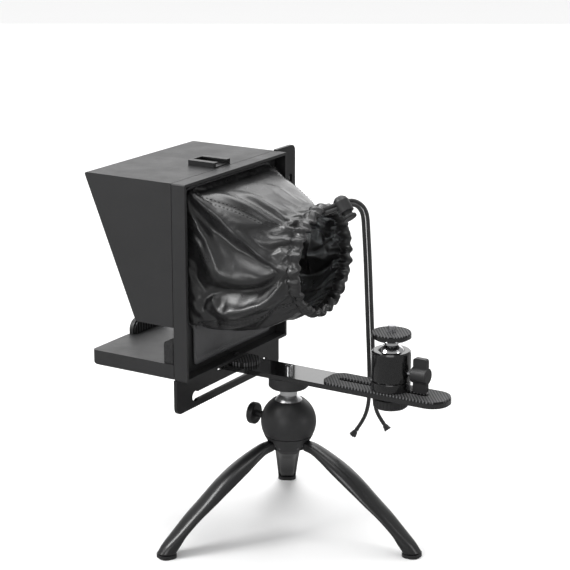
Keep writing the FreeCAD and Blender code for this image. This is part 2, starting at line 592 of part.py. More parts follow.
def bumper():
    """The foam strip along the back of the tray that the phone's edge rests against."""
    strip_shape = box(PLATE_FRONT - BUMPER_DEPTH, PLATE_FRONT, FRAME_NEAR, FRAME_FAR,
                      TRAY_TOP, TRAY_TOP + BUMPER_HEIGHT)
    front_top = lambda m: m.x < PLATE_FRONT - 1 and m.z > TRAY_TOP + 1
    pieces["bumper_strip"] = rounded(strip_shape, 4.0, Y_AXIS, front_top)


def phone_clamp():
    """The jaw, its rubber face, the slider behind it and the two rods the slider runs on."""
    y, half = FRAME_MIDDLE_Y, JAW_WIDTH / 2
    z = slider_height()
    jaw_rear = TRAY_FRONT + JAW_THICK
    jaw = box(TRAY_FRONT, jaw_rear, y - half, y + half, z - 3.8, TRAY_TOP + JAW_RISE)
    jaw = rounded(jaw, 9.5, X_AXIS, lambda m: m.z > TRAY_TOP)
    jaw = jaw.makeFillet(1.2, [e for e in jaw.Edges if e.CenterOfMass.x < TRAY_FRONT + 0.1
                               and e.CenterOfMass.z > TRAY_TOP])
    pieces["phone_jaw"] = jaw
    pad = box(jaw_rear, jaw_rear + JAW_PAD, y - half + 1.5, y + half - 1.5,
              TRAY_TOP + FACE_GAP, TRAY_TOP + JAW_RISE - 1.5)
    pieces["jaw_pad"] = rounded(pad, 8.0, X_AXIS, lambda m: m.z > TRAY_TOP + 2)
    crossbar_rear = PLATE_FRONT - TRAY_WALL - 14.0
    crossbar_front = crossbar_rear - 8.0
    arm_half, cross_half = SLIDER_ARM_WIDTH / 2, CROSSBAR_WIDTH / 2
    slider = box(jaw_rear, crossbar_front, y - arm_half, y + arm_half, z - 1.5, z + 1.5)
    slider = slider.fuse(box(crossbar_front, crossbar_rear, y - cross_half, y + cross_half,
                             z - 3.6, z + 3.6)).removeSplitter()
    start, end = TRAY_FRONT + TRAY_WALL, PLATE_FRONT - TRAY_WALL
    for number, rod_y in enumerate(rod_places(), start=1):
        slider = slider.cut(rod(V(start, rod_y, z), X_AXIS, ROD_RADIUS + RUN, end - start))
        pieces["guide_rod_%d" % number] = rod(V(start, rod_y, z), X_AXIS, ROD_RADIUS, end - start)
    pieces["jaw_slider"] = slider


# --- Shroud, drawstring and cord lock -----------------------------------------------------------

def rounded_section(x, half_y, half_z, middle_z, corner):
    """A closed upright outline: a rectangle with round corners, always of eight edges."""
    y0, y1 = FRAME_MIDDLE_Y - half_y, FRAME_MIDDLE_Y + half_y
    z0, z1 = FRAME_BOTTOM + middle_z - half_z, FRAME_BOTTOM + middle_z + half_z
    bend = corner * (1 - math.sqrt(0.5))
    corners = [(y0, z0, 1, 1), (y1, z0, -1, 1), (y1, z1, -1, -1), (y0, z1, 1, -1)]
    edges, last, first = [], None, None
    for index, (y, z, sy, sz) in enumerate(corners):
        along_z = V(x, y, z + sz * corner)
        along_y = V(x, y + sy * corner, z)
        enter, leave = (along_z, along_y) if index % 2 == 0 else (along_y, along_z)
        if last:
            edges.append(Part.LineSegment(last, enter).toShape())
        else:
            first = enter
        middle = V(x, y + sy * bend, z + sz * bend)
        edges.append(Part.Arc(enter, middle, leave).toShape())
        last = leave
    edges.append(Part.LineSegment(last, first).toShape())
    return Part.Wire(edges)


def shroud_body(inset):
    wires = []
    for behind, half_y, half_z, middle_z, corner in SHROUD_SECTIONS:
        inner_corner = min(corner, half_y, half_z) - inset - 0.1
        wires.append(rounded_section(PLATE_REAR + behind, half_y - inset, half_z - inset,
                                     middle_z, inner_corner))
    return Part.makeLoft(wires, True, True)


def shroud():
    """The leatherette light shroud: flange, sleeve and gathered hem round the lens."""
    sleeve = shroud_body(0).cut(shroud_body(SHROUD_WALL))
    pieces["shroud"] = sleeve
    flange = box(PLATE_REAR, PLATE_REAR + FLANGE_THICK, FRAME_NEAR + FLANGE_SIDE_GAP,
                 FRAME_FAR - FLANGE_SIDE_GAP, FRAME_BOTTOM + FLANGE_FOOT_GAP, FRAME_TOP - FLANGE_TOP_GAP)
    behind, half_y, half_z, middle_z, corner = SHROUD_SECTIONS[0]
    hole = Part.Face(rounded_section(PLATE_REAR - 1, half_y - SHROUD_WALL, half_z - SHROUD_WALL,
                                     middle_z, corner - SHROUD_WALL))
    pieces["shroud_flange"] = flange.cut(hole.extrude(V(FLANGE_THICK + 2, 0, 0)))
    behind, half_y, half_z, middle_z, corner = SHROUD_SECTIONS[-1]
    start = V(PLATE_REAR + behind, FRAME_MIDDLE_Y, FRAME_BOTTOM + middle_z)
    hem = turned([
        (HEM_INNER, 0), (HEM_OUTER - 2.5, 0), (HEM_OUTER, 3.0),
        (HEM_OUTER, HEM_LENGTH - 3.0), (HEM_OUTER - 3.0, HEM_LENGTH), (HEM_INNER + 1.5, HEM_LENGTH),
        (HEM_INNER, HEM_LENGTH - 2.0),
    ])
    pieces["shroud_hem"] = aimed(hem, start, X_AXIS)


def cord_way():
    """The cords' direction through the lock."""
    return V(CORD_WAY).normalize()


def lock_axis():
    """The plunger's line: as near to the wanted lean as is square to the cords."""
    way = cord_way()
    return (LOCK_LEAN - way * LOCK_LEAN.dot(way)).normalize()


def cord_middle():
    """The pair's middle line: out of the hem, through the lock, over a bend and down."""
    down = V(0.04, 0.0, -1.0).normalize()
    half_run = cord_way() * (CORD_LOCK_RUN / 2)
    points = [CORD_START, LOCK_MIDDLE - half_run, LOCK_MIDDLE + half_run]
    turn = cord_way().getAngle(down)
    side = (down - cord_way() * cord_way().dot(down)).normalize()
    for step in range(1, CORD_BEND_STEPS):
        angle = turn * step / CORD_BEND_STEPS
        direction = cord_way() * math.cos(angle) + side * math.sin(angle)
        points.append(points[-1] + direction * CORD_BEND_RUN)
    top = points[-1]
    return points + [V(top.x + shift, top.y, top.z - drop) for shift, drop in CORD_HANG]


def cord_route(side):
    """One strand's points, kept half the spacing to one side of the pair's middle line."""
    middle = cord_middle()
    start, end = lock_axis() * -1, V(0.97, 0.24, 0)
    route = []
    for index, point in enumerate(middle):
        before, after = middle[max(index - 1, 0)], middle[min(index + 1, len(middle) - 1)]
        way = (after - before).normalize()
        share = min(max((index - 2) / CORD_BEND_STEPS, 0), 1)
        apart = start * (1 - share) + end * share
        apart = (apart - way * apart.dot(way)).normalize()
        route.append(point + apart * (side * CORD_SPACING / 2))
    return route + [route[-1] + V(shift, 0, -drop) for shift, drop in CORD_TAILS[side]]


def cord_tube(route, name):
    """A tube along straight runs joined by tangent arcs, each as large as its runs allow."""
    edges, start = [], route[0]
    radii = []
    for before, point, after in zip(route, route[1:], route[2:]):
        way_in, way_out = (point - before).normalize(), (after - point).normalize()
        turn = way_in.getAngle(way_out)
        shorter = min((point - before).Length, (after - point).Length)
        reach = 0.45 * shorter
        radii.append(reach / math.tan(turn / 2))
        enter, leave = point - way_in * reach, point + way_out * reach
        inward = (way_out - way_in).normalize()
        gap = radii[-1] * (1 / math.cos(turn / 2) - 1)
        edges.append(Part.LineSegment(start, enter).toShape())
        edges.append(Part.Arc(enter, point + inward * gap, leave).toShape())
        start = leave
    edges.append(Part.LineSegment(start, route[-1]).toShape())
    path = Part.Wire(edges)
    circle = Part.Edge(Part.Circle(route[0], route[1] - route[0], CORD_DIAMETER / 2))
    tube = path.makePipeShell([Part.Wire(circle)], True, True)
    expected = math.pi * (CORD_DIAMETER / 2) ** 2 * path.Length
    print(name, "smallest radii", [round(r, 1) for r in sorted(radii)[:3]],
          "volume ratio", round(tube.Volume / expected, 4), "length", round(path.Length, 1))
    return tube


def drawstring():
    """Two strands of the drawstring, from the hem through the lock to their knotted tails."""
    for name, side in (("a", -1), ("b", 1)):
        route = cord_route(side)
        pieces["drawstring_" + name] = cord_tube(route, "drawstring_" + name)
        way = (route[-1] - route[-2]).normalize()
        pieces["drawstring_knot_" + name] = Part.makeSphere(KNOT_RADIUS, route[-1] + way * KNOT_REACH)


def cord_lock():
    """A bell-shaped barrel and a sprung plunger, both pierced for the pair of strands."""
    top = LOCK_LENGTH / 2
    barrel = turned([
        (0, -top), (LOCK_RADIUS * 0.55, -top + 0.5), (LOCK_RADIUS * 0.86, -top + 2.4),
        (LOCK_RADIUS, -top + 5.0), (LOCK_RADIUS, top), (0, top),
    ])
    bore_depth = LOCK_LENGTH - 2.6
    barrel = barrel.cut(rod(V(0, 0, top - bore_depth), Z_AXIS, PLUNGER_RADIUS + RUN, bore_depth + 1))
    stem_foot = top - bore_depth + PLUNGER_TRAVEL + 0.4
    stem = rod(V(0, 0, stem_foot), Z_AXIS, PLUNGER_RADIUS, top + PLUNGER_TRAVEL + 0.6 - stem_foot)
    button = rod(V(0, 0, top + PLUNGER_TRAVEL + 0.6), Z_AXIS, LOCK_RADIUS * 0.95, 2.6)
    button = button.makeFillet(0.9, [e for e in button.Edges if e.Length > 30])
    plunger = stem.fuse(button)
    across, way = lock_axis(), cord_way()
    outside = LOCK_MIDDLE - way * 2 * LOCK_RADIUS
    low, high = outside - across * (CORD_SPACING / 2), outside + across * (CORD_SPACING / 2)
    through = way * 4 * LOCK_RADIUS
    hole_radius = CORD_DIAMETER / 2 + CORD_HOLE_GAP
    barrel_hole = slot_cutter(low, high, hole_radius, through)
    pressed_high = high + across * PLUNGER_TRAVEL
    plunger_hole = slot_cutter(low, pressed_high, hole_radius + CORD_HOLE_GAP, through)
    pieces["cord_lock_barrel"] = aimed(barrel, LOCK_MIDDLE, across).cut(barrel_hole)
    pieces["cord_lock_plunger"] = aimed(plunger, LOCK_MIDDLE, across).cut(plunger_hole)


# --- Mini ball head -----------------------------------------------------------------------------

def at_head(shape):
    shape.translate(V(HEAD_X, 0, 0))
    return shape


def head_base():
    """The turned foot that slides along the bar, with the hole for the thumb screw."""
    top = PAD_TOP + HEAD_BASE_HEIGHT
    base = turned([
        (0, PAD_TOP), (HEAD_RADIUS - 0.5, PAD_TOP), (HEAD_RADIUS, PAD_TOP + 0.6),
        (HEAD_RADIUS, top - 0.6), (HEAD_RADIUS - 0.6, top), (0, top),
    ])
    hole = rod(V(0, 0, PAD_TOP - 1), Z_AXIS, STUD_RADIUS + RUN, HEAD_BASE_HEIGHT - 0.5)
    pieces["head_base"] = at_head(base.cut(hole))


def head_body():
    """The cup that holds the small ball, bored across for the wing screw."""
    foot = PAD_TOP + HEAD_BASE_HEIGHT + 0.1
    body = turned([
        (0, foot), (HEAD_RADIUS - 0.8, foot), (HEAD_RADIUS, foot + 0.9),
        (HEAD_RADIUS, HEAD_BODY_TOP - 1.2), (HEAD_RADIUS - 1.2, HEAD_BODY_TOP), (0, HEAD_BODY_TOP),
    ])
    body = body.cut(Part.makeSphere(HEAD_BALL_RADIUS + BALL_GAP, V(0, 0, HEAD_BALL_HEIGHT)))
    body = body.cut(rod(V(8.0, 0, WING_AXIS_HEIGHT), X_AXIS, WING_SHAFT_RADIUS + RUN, 20))
    pieces["head_body"] = at_head(body)


def head_ball():
    neck = rod(V(0, 0, HEAD_BALL_HEIGHT), Z_AXIS, HEAD_NECK_RADIUS, PLATFORM_HEIGHT - HEAD_BALL_HEIGHT)
    ball = Part.makeSphere(HEAD_BALL_RADIUS, V(0, 0, HEAD_BALL_HEIGHT))
    pieces["head_ball"] = at_head(ball.fuse(neck))


def platform():
    """The disc under the camera, its rubber face and the quarter-inch camera stud."""
    foot, top = PLATFORM_HEIGHT + 0.1, PLATFORM_HEIGHT + PLATFORM_THICK
    disc = turned([
        (0, foot), (HEAD_RADIUS - 3.0, foot), (HEAD_RADIUS, foot + 1.8), (HEAD_RADIUS, top), (0, top),
    ])
    pad_top = top + PLATFORM_PAD
    thread_start, tip = pad_top + THREAD_START, pad_top + CAMERA_STUD_RISE
    stud = turned([
        (0, foot + 1.5), (SHANK_RADIUS, foot + 1.5), (SHANK_RADIUS, thread_start),
        (STUD_RADIUS, thread_start), (STUD_RADIUS, tip), (0, tip),
    ])
    pieces["camera_platform"] = at_head(disc.cut(stud))
    pad = rod(V(0, 0, top), Z_AXIS, HEAD_RADIUS - 0.4, PLATFORM_PAD)
    pieces["platform_pad"] = at_head(pad.cut(stud))
    pieces["camera_stud"] = at_head(stud)


def wing_screw():
    """The T-shaped wing knob and its bright shaft."""
    shaft_start = 11.0
    hub_start = HEAD_RADIUS + WING_SHAFT_SHOWN
    shaft = rod(V(shaft_start, 0, WING_AXIS_HEIGHT), X_AXIS, WING_SHAFT_RADIUS, hub_start - shaft_start)
    hub = rod(V(hub_start, 0, WING_AXIS_HEIGHT), X_AXIS, WING_HUB_RADIUS, WING_HUB_LENGTH)
    hub = hub.makeFillet(0.9, [e for e in hub.Edges if e.Length > 30])
    wing_start = hub_start + (WING_HUB_LENGTH - WING_WIDTH) * 0.6
    half_span, half_thick = WING_SPAN / 2, WING_THICK / 2
    wing = box(wing_start, wing_start + WING_WIDTH, -half_thick, half_thick,
               WING_AXIS_HEIGHT - half_span, WING_AXIS_HEIGHT + half_span)
    wing = rounded(wing, 2.2, Y_AXIS)
    pieces["wing_shaft"] = at_head(shaft)
    pieces["wing_knob"] = at_head(hub.fuse(wing).removeSplitter())


def thumb_screw():
    """The knurled nut below the bar and the stud it carries up through the slot."""
    top = BAR_UNDERSIDE - 0.2
    foot = top - THUMB_HEIGHT
    ribs = 30
    nut = turned([
        (0, foot), (THUMB_RADIUS - 1.6, foot), (THUMB_RADIUS, foot + 1.4),
        (THUMB_RADIUS, top - 2.0), (THUMB_RADIUS - 4.0, top), (0, top),
    ])
    for index in range(ribs):
        angle = 2 * math.pi * index / ribs
        place = V(THUMB_RADIUS * 1.02 * math.cos(angle), THUMB_RADIUS * 1.02 * math.sin(angle), foot - 1)
        nut = nut.cut(rod(place, Z_AXIS, 0.75, THUMB_HEIGHT + 2))
    stud = rod(V(0, 0, top - 5.0), Z_AXIS, STUD_RADIUS, PAD_TOP + HEAD_BASE_HEIGHT - 2.5 - top + 5.0)
    pieces["thumb_nut"] = at_head(nut.cut(stud))
    pieces["thumb_stud"] = at_head(stud)


def write_pieces():
    os.makedirs("parts", exist_ok=True)
    whole = FreeCAD.BoundBox()
    for name, shape in pieces.items():
        shape.translate(V(AXIS_X, AXIS_Y, 0))
        if len(shape.Solids) != 1 or not shape.isValid():
            print("CHECK", name, "solids", len(shape.Solids), "valid", shape.isValid())
        shape.Solids[0].exportStep("parts/" + name + ".step")
        if not name.startswith("drawstring"):
            whole.add(shape.BoundBox)
    print("pieces", len(pieces), "box", whole)


def main():
    tripod_hub()
    legs()
    lock_knob()
    tripod_ball()
    bar()
    frame_screw()
    mount_plate()
    rear_frame()
    hood_shell()
    plate_screws()
    mirror()
    cold_shoe()
    phone_tray()
    tray_cover()
    bumper()
    phone_clamp()
    shroud()
    drawstring()
    cord_lock()
    head_base()
    head_body()
    head_ball()
    platform()
    wing_screw()
    thumb_screw()
    write_pieces()


main()
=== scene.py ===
"""The looks of a phone teleprompter on its bar and table tripod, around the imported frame."""

import math

import bmesh
import bpy
from mathutils import Matrix, Vector, noise


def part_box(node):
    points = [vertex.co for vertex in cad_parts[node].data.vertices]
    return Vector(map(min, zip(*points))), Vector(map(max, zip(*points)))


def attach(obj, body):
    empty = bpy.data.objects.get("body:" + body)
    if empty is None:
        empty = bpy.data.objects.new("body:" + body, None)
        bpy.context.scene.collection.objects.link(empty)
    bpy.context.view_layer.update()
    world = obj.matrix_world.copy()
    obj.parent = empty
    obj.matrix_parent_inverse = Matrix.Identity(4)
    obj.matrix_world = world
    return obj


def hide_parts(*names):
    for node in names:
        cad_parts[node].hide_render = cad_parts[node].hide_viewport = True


bl_info = {
    "name": "Phone teleprompter",
    "version": (1, 0, 0),
    "blender": (4, 5, 0),
    "location": "View3D > Sidebar > Prompter",
    "description": "Builds the shroud, drawstring, legs and finishes of a phone teleprompter",
    "category": "Object",
}

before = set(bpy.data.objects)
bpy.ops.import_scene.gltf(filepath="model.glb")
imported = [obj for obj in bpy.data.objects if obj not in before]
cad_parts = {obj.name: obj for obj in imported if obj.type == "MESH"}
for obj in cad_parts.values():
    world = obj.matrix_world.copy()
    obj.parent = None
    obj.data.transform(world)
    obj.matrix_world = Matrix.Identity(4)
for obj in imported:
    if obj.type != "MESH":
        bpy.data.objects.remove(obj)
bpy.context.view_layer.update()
MM = 0.001


# --- Making meshes ------------------------------------------------------------------------------

def node_middle(name):
    low, high = (Vector(corner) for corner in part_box(name))
    return (low + high) / 2, low, high


def new_piece(name, bm, finish, body, stands_for=(), smooth=True):
    """Turns a bmesh into a finished object that rides on a body."""
    mesh = bpy.data.meshes.new(name)
    bm.to_mesh(mesh)
    bm.free()
    piece = bpy.data.objects.new(name, mesh)
    bpy.context.scene.collection.objects.link(piece)
    mesh.materials.append(FINISHES[finish])
    for face in mesh.polygons:
        face.use_smooth = smooth
    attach(piece, body)
    if stands_for:
        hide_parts(*stands_for)
    return piece


def mapped_grid(across, along, place, close_across=False, close_along=False):
    """A grid whose points are put where place(u, v) says, with its joining edges welded."""
    bm = bmesh.new()
    bm.loops.layers.uv.new("UVMap")
    bmesh.ops.create_grid(bm, x_segments=across, y_segments=along, size=0.5, calc_uvs=True)
    for vert in bm.verts:
        vert.co = place(vert.co.x + 0.5, vert.co.y + 0.5)
    if close_across or close_along:
        bmesh.ops.remove_doubles(bm, verts=bm.verts, dist=2e-6)
    return bm


def cap_ends(bm):
    open_edges = [edge for edge in bm.edges if edge.is_boundary]
    bmesh.ops.holes_fill(bm, edges=open_edges, sides=0)


def outward(bm):
    bmesh.ops.recalc_face_normals(bm, faces=bm.faces)


def add_modifier(piece, kind, **settings):
    modifier = piece.modifiers.new(kind.title(), kind)
    for key, value in settings.items():
        setattr(modifier, key, value)
    return modifier


def subdivided(piece, levels=1):
    return add_modifier(piece, "SUBSURF", levels=levels, render_levels=levels)


def blend_numbers(a, b, share):
    return a + (b - a) * share


def smooth_step(low, high, value):
    share = min(max((value - low) / (high - low), 0.0), 1.0)
    return share * share * (3 - 2 * share)


def stitch_row(bm, points, normals, pitch, length, thick, lift=0.0):
    """Short rounded stitches along a line of points, each lying on the surface."""
    travelled, goal = 0.0, pitch / 2
    for a, b, normal in zip(points, points[1:], normals):
        run = (b - a).length
        while run > 0 and travelled + run >= goal:
            spot = a.lerp(b, (goal - travelled) / run)
            way = (b - a).normalized()
            up = (normal - way * normal.dot(way)).normalized()
            turn = Matrix((way, up.cross(way), up)).transposed().to_4x4()
            size = Matrix.Diagonal((length / 2, thick / 2, thick / 2, 1))
            place = Matrix.Translation(spot + up * lift) @ turn @ size
            bmesh.ops.create_icosphere(bm, subdivisions=1, radius=1.0, matrix=place)
            goal += pitch
        travelled += run


# --- Finishes -----------------------------------------------------------------------------------

FINISHES = {}


class FinishMaker:
    """Puts together one procedural material around its main shader."""

    def __init__(self, name, color, roughness, metallic=0.0, coat=0.0, coat_roughness=0.1,
                 ior=1.5):
        self.material = bpy.data.materials.new(name)
        self.material.use_nodes = True
        self.tree = self.material.node_tree
        self.shader = self.tree.nodes["Principled BSDF"]
        self.set("Base Color", (*color, 1.0))
        self.set("Roughness", roughness)
        self.set("Metallic", metallic)
        self.set("Coat Weight", coat)
        self.set("Coat Roughness", coat_roughness)
        self.set("IOR", ior)
        self.coordinates = self.tree.nodes.new("ShaderNodeTexCoord").outputs["Object"]
        self.height = None
        FINISHES[name] = self.material

    def set(self, socket, value):
        self.shader.inputs[socket].default_value = value

    def link(self, output, target):
        self.tree.links.new(output, target)

    def mapped(self, scale=(1, 1, 1), rotation=(0, 0, 0)):
        node = self.tree.nodes.new("ShaderNodeMapping")
        node.inputs["Scale"].default_value = scale
        node.inputs["Rotation"].default_value = rotation
        self.link(self.coordinates, node.inputs["Vector"])
        return node.outputs["Vector"]

    def noise(self, scale, detail=3.0, stretch=(1, 1, 1), rotation=(0, 0, 0)):
        node = self.tree.nodes.new("ShaderNodeTexNoise")
        node.inputs["Scale"].default_value = scale
        node.inputs["Detail"].default_value = detail
        self.link(self.mapped(stretch, rotation), node.inputs["Vector"])
        return node.outputs["Fac"]

    def cells(self, scale, feature="F1"):
        node = self.tree.nodes.new("ShaderNodeTexVoronoi")
        node.feature = feature
        node.inputs["Scale"].default_value = scale
        self.link(self.mapped(), node.inputs["Vector"])
        return node.outputs["Distance"]

    def ridges(self, scale, rotation):
        node = self.tree.nodes.new("ShaderNodeTexWave")
        node.bands_direction = "X"
        node.inputs["Scale"].default_value = scale
        self.link(self.mapped(rotation=rotation), node.inputs["Vector"])
        return node.outputs["Fac"]

    def multiply(self, a, b):
        node = self.tree.nodes.new("ShaderNodeMath")
        node.operation = "MULTIPLY"
        self.link(a, node.inputs[0])
        self.link(b, node.inputs[1])
        return node.outputs[0]

    def tint(self, factor, dark, light, low=0.35, high=0.65):
        ramp = self.tree.nodes.new("ShaderNodeValToRGB")
        ramp.color_ramp.elements[0].position = low
        ramp.color_ramp.elements[1].position = high
        ramp.color_ramp.elements[0].color = (*dark, 1.0)
        ramp.color_ramp.elements[1].color = (*light, 1.0)
        self.link(factor, ramp.inputs["Fac"])
        self.link(ramp.outputs["Color"], self.shader.inputs["Base Color"])
        return self

    def polish(self, factor, low, high):
        """Roughness that wanders between two values."""
        node = self.tree.nodes.new("ShaderNodeMapRange")
        node.inputs["From Min"].default_value = 0.3
        node.inputs["From Max"].default_value = 0.7
        node.inputs["To Min"].default_value = low
        node.inputs["To Max"].default_value = high
        self.link(factor, node.inputs["Value"])
        self.link(node.outputs["Result"], self.shader.inputs["Roughness"])
        return self

    def relief(self, factor, distance, strength=1.0):
        """Raises the surface by a pattern; several reliefs add up."""
        node = self.tree.nodes.new("ShaderNodeBump")
        node.inputs["Strength"].default_value = strength
        node.inputs["Distance"].default_value = distance
        self.link(factor, node.inputs["Height"])
        if self.height:
            self.link(self.height, node.inputs["Normal"])
        self.height = node.outputs["Normal"]
        self.link(self.height, self.shader.inputs["Normal"])
        return self


def grey(value):
    return (value, value, value * 1.04)


def make_plastics(sizes):
    body = FinishMaker("moulded_shell", grey(sizes.shell_grey), 0.44)
    body.tint(body.noise(9.0, 4.0), grey(sizes.shell_grey * 0.97), grey(sizes.shell_grey * 1.04))
    body.polish(body.noise(60.0, 5.0), 0.40, 0.50)
    body.relief(body.noise(2600.0, 2.0), 0.00006).relief(body.noise(14.0, 2.0), 0.0004, 0.07)
    trim = FinishMaker("moulded_trim", grey(0.014), 0.40)
    trim.polish(trim.noise(80.0, 4.0), 0.34, 0.48).relief(trim.noise(2200.0, 2.0), 0.00006)
    hub = FinishMaker("tripod_moulding", grey(0.021), 0.40)
    hub.tint(hub.noise(25.0, 3.0), grey(0.019), grey(0.024))
    hub.polish(hub.noise(120.0, 4.0), 0.37, 0.46).relief(hub.noise(3000.0, 2.0), 0.00005)
    leg = FinishMaker("leg_gloss", grey(0.011), 0.32, coat=0.35, coat_roughness=0.22)
    leg.polish(leg.noise(30.0, 2.0), 0.29, 0.35).relief(leg.noise(60.0, 2.0), 0.00002)
    knob = FinishMaker("knob_moulding", grey(0.016), 0.42)
    knob.polish(knob.noise(140.0, 4.0), 0.34, 0.48).relief(knob.noise(2600.0, 2.0), 0.00008)


def make_metals():
    chrome = FinishMaker("chrome", (0.88, 0.88, 0.89), 0.15, metallic=1.0)
    chrome.polish(chrome.noise(300.0, 6.0), 0.12, 0.20)
    satin = FinishMaker("satin_metal", (0.86, 0.86, 0.87), 0.34, metallic=1.0)
    satin.polish(satin.noise(400.0, 4.0), 0.30, 0.38)
    steel = FinishMaker("steel", (0.62, 0.62, 0.64), 0.24, metallic=1.0)
    steel.polish(steel.noise(900.0, 3.0), 0.18, 0.34).relief(steel.noise(1500.0, 2.0), 0.00003)
    bar = FinishMaker("bar_anodised", grey(0.010), 0.14, coat=0.85, coat_roughness=0.05)
    bar.polish(bar.noise(220.0, 6.0), 0.10, 0.18)
    bar.relief(bar.noise(300.0, 2.0, stretch=(0.08, 1, 1)), 0.000005)
    plate = FinishMaker("plate_satin", grey(0.011), 0.36)
    plate.tint(plate.noise(30.0, 4.0), grey(0.010), grey(0.013))
    plate.polish(plate.noise(180.0, 4.0), 0.32, 0.42).relief(plate.noise(2400.0, 2.0), 0.00005)
    head = FinishMaker("head_anodised", grey(0.006), 0.16, coat=0.8, coat_roughness=0.06)
    head.polish(head.noise(260.0, 4.0, stretch=(1, 1, 6)), 0.12, 0.20)
    head.relief(head.noise(400.0, 2.0, stretch=(0.1, 0.1, 5)), 0.000006)


def make_soft_finishes(sizes):
    shade = sizes.leather_grey
    leather = FinishMaker("leatherette", grey(shade), 0.3, coat=0.7, coat_roughness=0.27)
    leather.tint(leather.noise(45.0, 4.0), grey(shade * 0.7), grey(shade * 1.3))
    leather.polish(leather.noise(120.0, 5.0), 0.27, 0.42)
    leather.relief(leather.noise(70.0, 4.0), 0.0011, 0.35)
    leather.relief(leather.cells(1500.0), 0.00012, 0.6)
    # The flange panel is the sleeve's leatherette painted lighter: a painted sheen standing in for
    # the light it catches.
    panel = FinishMaker("leatherette_painted_lighter", grey(0.065), 0.42, coat=0.2, coat_roughness=0.3)
    panel.tint(panel.noise(45.0, 4.0), grey(0.058), grey(0.075))
    panel.relief(panel.noise(70.0, 4.0), 0.0008, 0.3).relief(panel.cells(1500.0), 0.00012, 0.6)
    thread = FinishMaker("thread", grey(0.008), 0.6)
    thread.relief(thread.noise(3000.0, 2.0), 0.0001).set("Sheen Weight", 0.4)
    cord = FinishMaker("woven_cord", grey(0.012), 0.75)
    cord.set("Sheen Weight", 0.35)
    cord.tint(cord.noise(1400.0, 2.0), grey(0.008), grey(0.024))
    cord.relief(cord.noise(2600.0, 3.0), 0.0002)
    foam = FinishMaker("foam", grey(0.012), 0.9)
    foam.tint(foam.cells(900.0), grey(0.006), grey(0.02), 0.1, 0.6)
    foam.relief(foam.noise(420.0, 5.0), 0.0006, 0.7).relief(foam.cells(1100.0), 0.0003)


# Distance between the crossed ridges on the pads, and their angle to the bar.
HATCH_PITCH = 0.0023
HATCH_ANGLE = math.radians(38)


def make_rubbers():
    foot = FinishMaker("foot_rubber", grey(0.014), 0.55)
    foot.polish(foot.noise(90.0, 3.0), 0.50, 0.60).relief(foot.noise(1800.0, 2.0), 0.00005)
    pad = FinishMaker("pad_rubber", grey(0.02), 0.62)
    scale = 2 * math.pi / (20 * HATCH_PITCH)
    ridges_and_painted_highlights = pad.multiply(
        pad.ridges(scale, (0, 0, HATCH_ANGLE)),
        pad.ridges(scale, (0, 0, -HATCH_ANGLE)),
    )
    # The crossed ridges are raised by relief; their tops are also painted lighter as a painted
    # highlight, and the grooves darker as painted shade.
    pad.tint(ridges_and_painted_highlights, grey(0.004), grey(0.16), 0.15, 0.7).relief(ridges_and_painted_highlights, 0.0006)


def make_glass():
    glass = FinishMaker("mirror_glass", (0.86, 0.90, 0.92), 0.03, metallic=0.3)
    glass.set("Transmission Weight", 1.0)
    glass.polish(glass.noise(20.0, 2.0), 0.015, 0.03)


NODE_FINISHES = {
    "moulded_shell": ["rear_frame", "hood_shell", "phone_tray"],
    "moulded_trim": ["glass_rail_near", "glass_rail_far", "tray_cover", "phone_jaw", "jaw_slider"],
    "tripod_moulding": ["tripod_hub", "seat_disc"],
    "leg_gloss": ["leg_1", "leg_2", "leg_3"],
    "knob_moulding": [
        "lock_knob", "cord_lock_barrel", "cord_lock_plunger", "wing_knob", "thumb_nut",
    ],
    "chrome": ["head_ball", "tripod_stud"],
    "satin_metal": ["support_ball", "support_neck"],
    "steel": [
        "leg_pin_1", "leg_pin_2", "leg_pin_3", "plate_screw_1",
        "plate_screw_2", "plate_screw_3", "plate_screw_4", "tray_screw_1", "tray_screw_2",
        "guide_rod_1", "guide_rod_2", "camera_stud", "wing_shaft", "thumb_stud",
    ],
    "bar_anodised": ["extension_bar"],
    "plate_satin": ["mount_plate", "cold_shoe", "frame_screw"],
    "head_anodised": ["head_base", "head_body", "camera_platform"],
    "pad_rubber": ["bar_pad", "round_pad", "jaw_pad", "platform_pad"],
    "foot_rubber": ["foot_pad_1", "foot_pad_2", "foot_pad_3"],
    "leatherette": ["shroud", "shroud_flange", "shroud_hem"],
    "woven_cord": ["drawstring_a", "drawstring_b", "drawstring_knot_a", "drawstring_knot_b"],
    "foam": ["bumper_strip"],
    "mirror_glass": ["mirror_glass"],
}


class PROMPTER_OT_finishes(bpy.types.Operator):
    """Make every finish and give each CAD node its own"""

    bl_idname = "prompter.finishes"
    bl_label = "Finishes"

    def execute(self, context):
        sizes = context.scene.prompter_looks
        make_plastics(sizes)
        make_metals()
        make_soft_finishes(sizes)
        make_rubbers()
        make_glass()
        for finish, names in NODE_FINISHES.items():
            for name in names:
                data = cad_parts[name].data
                data.materials.clear()
                data.materials.append(FINISHES[finish])
        return {"FINISHED"}


# --- Stage --------------------------------------------------------------------------------------

CAMERA_PLACE = (0.7428, -1.2210, 0.6144)
FLOOR_SIZE = 20.0
# Where every lamp points: the middle of the teleprompter.
LIT_SPOT = (0.0, 0.0, 0.18)
# Each lamp: where it stands and its width and height, in metres, then its power in watts.
LAMPS = {
    "backdrop": ((-1.5, 2.5, 1.15), (4.6, 2.3), 35.0),
    "side": ((-1.15, -1.25, 1.75), (0.8, 0.8), 26.0),
    "low_side": ((-1.9, -1.6, 0.75), (0.5, 0.9), 8.0),
    "front": ((0.25, -2.3, 0.8), (0.5, 0.8), 7.0),
    "right": ((2.0, 0.3, 0.9), (0.5, 1.5), 8.0),
    "overhead": ((0.2, -0.5, 2.0), (0.9, 0.9), 5.0),
}
DAYLIGHT_STRENGTH, DAYLIGHT_ANGLE = 2.25, math.radians(55)
DAYLIGHT_TURN = (math.radians(-14), math.radians(-12), 0)


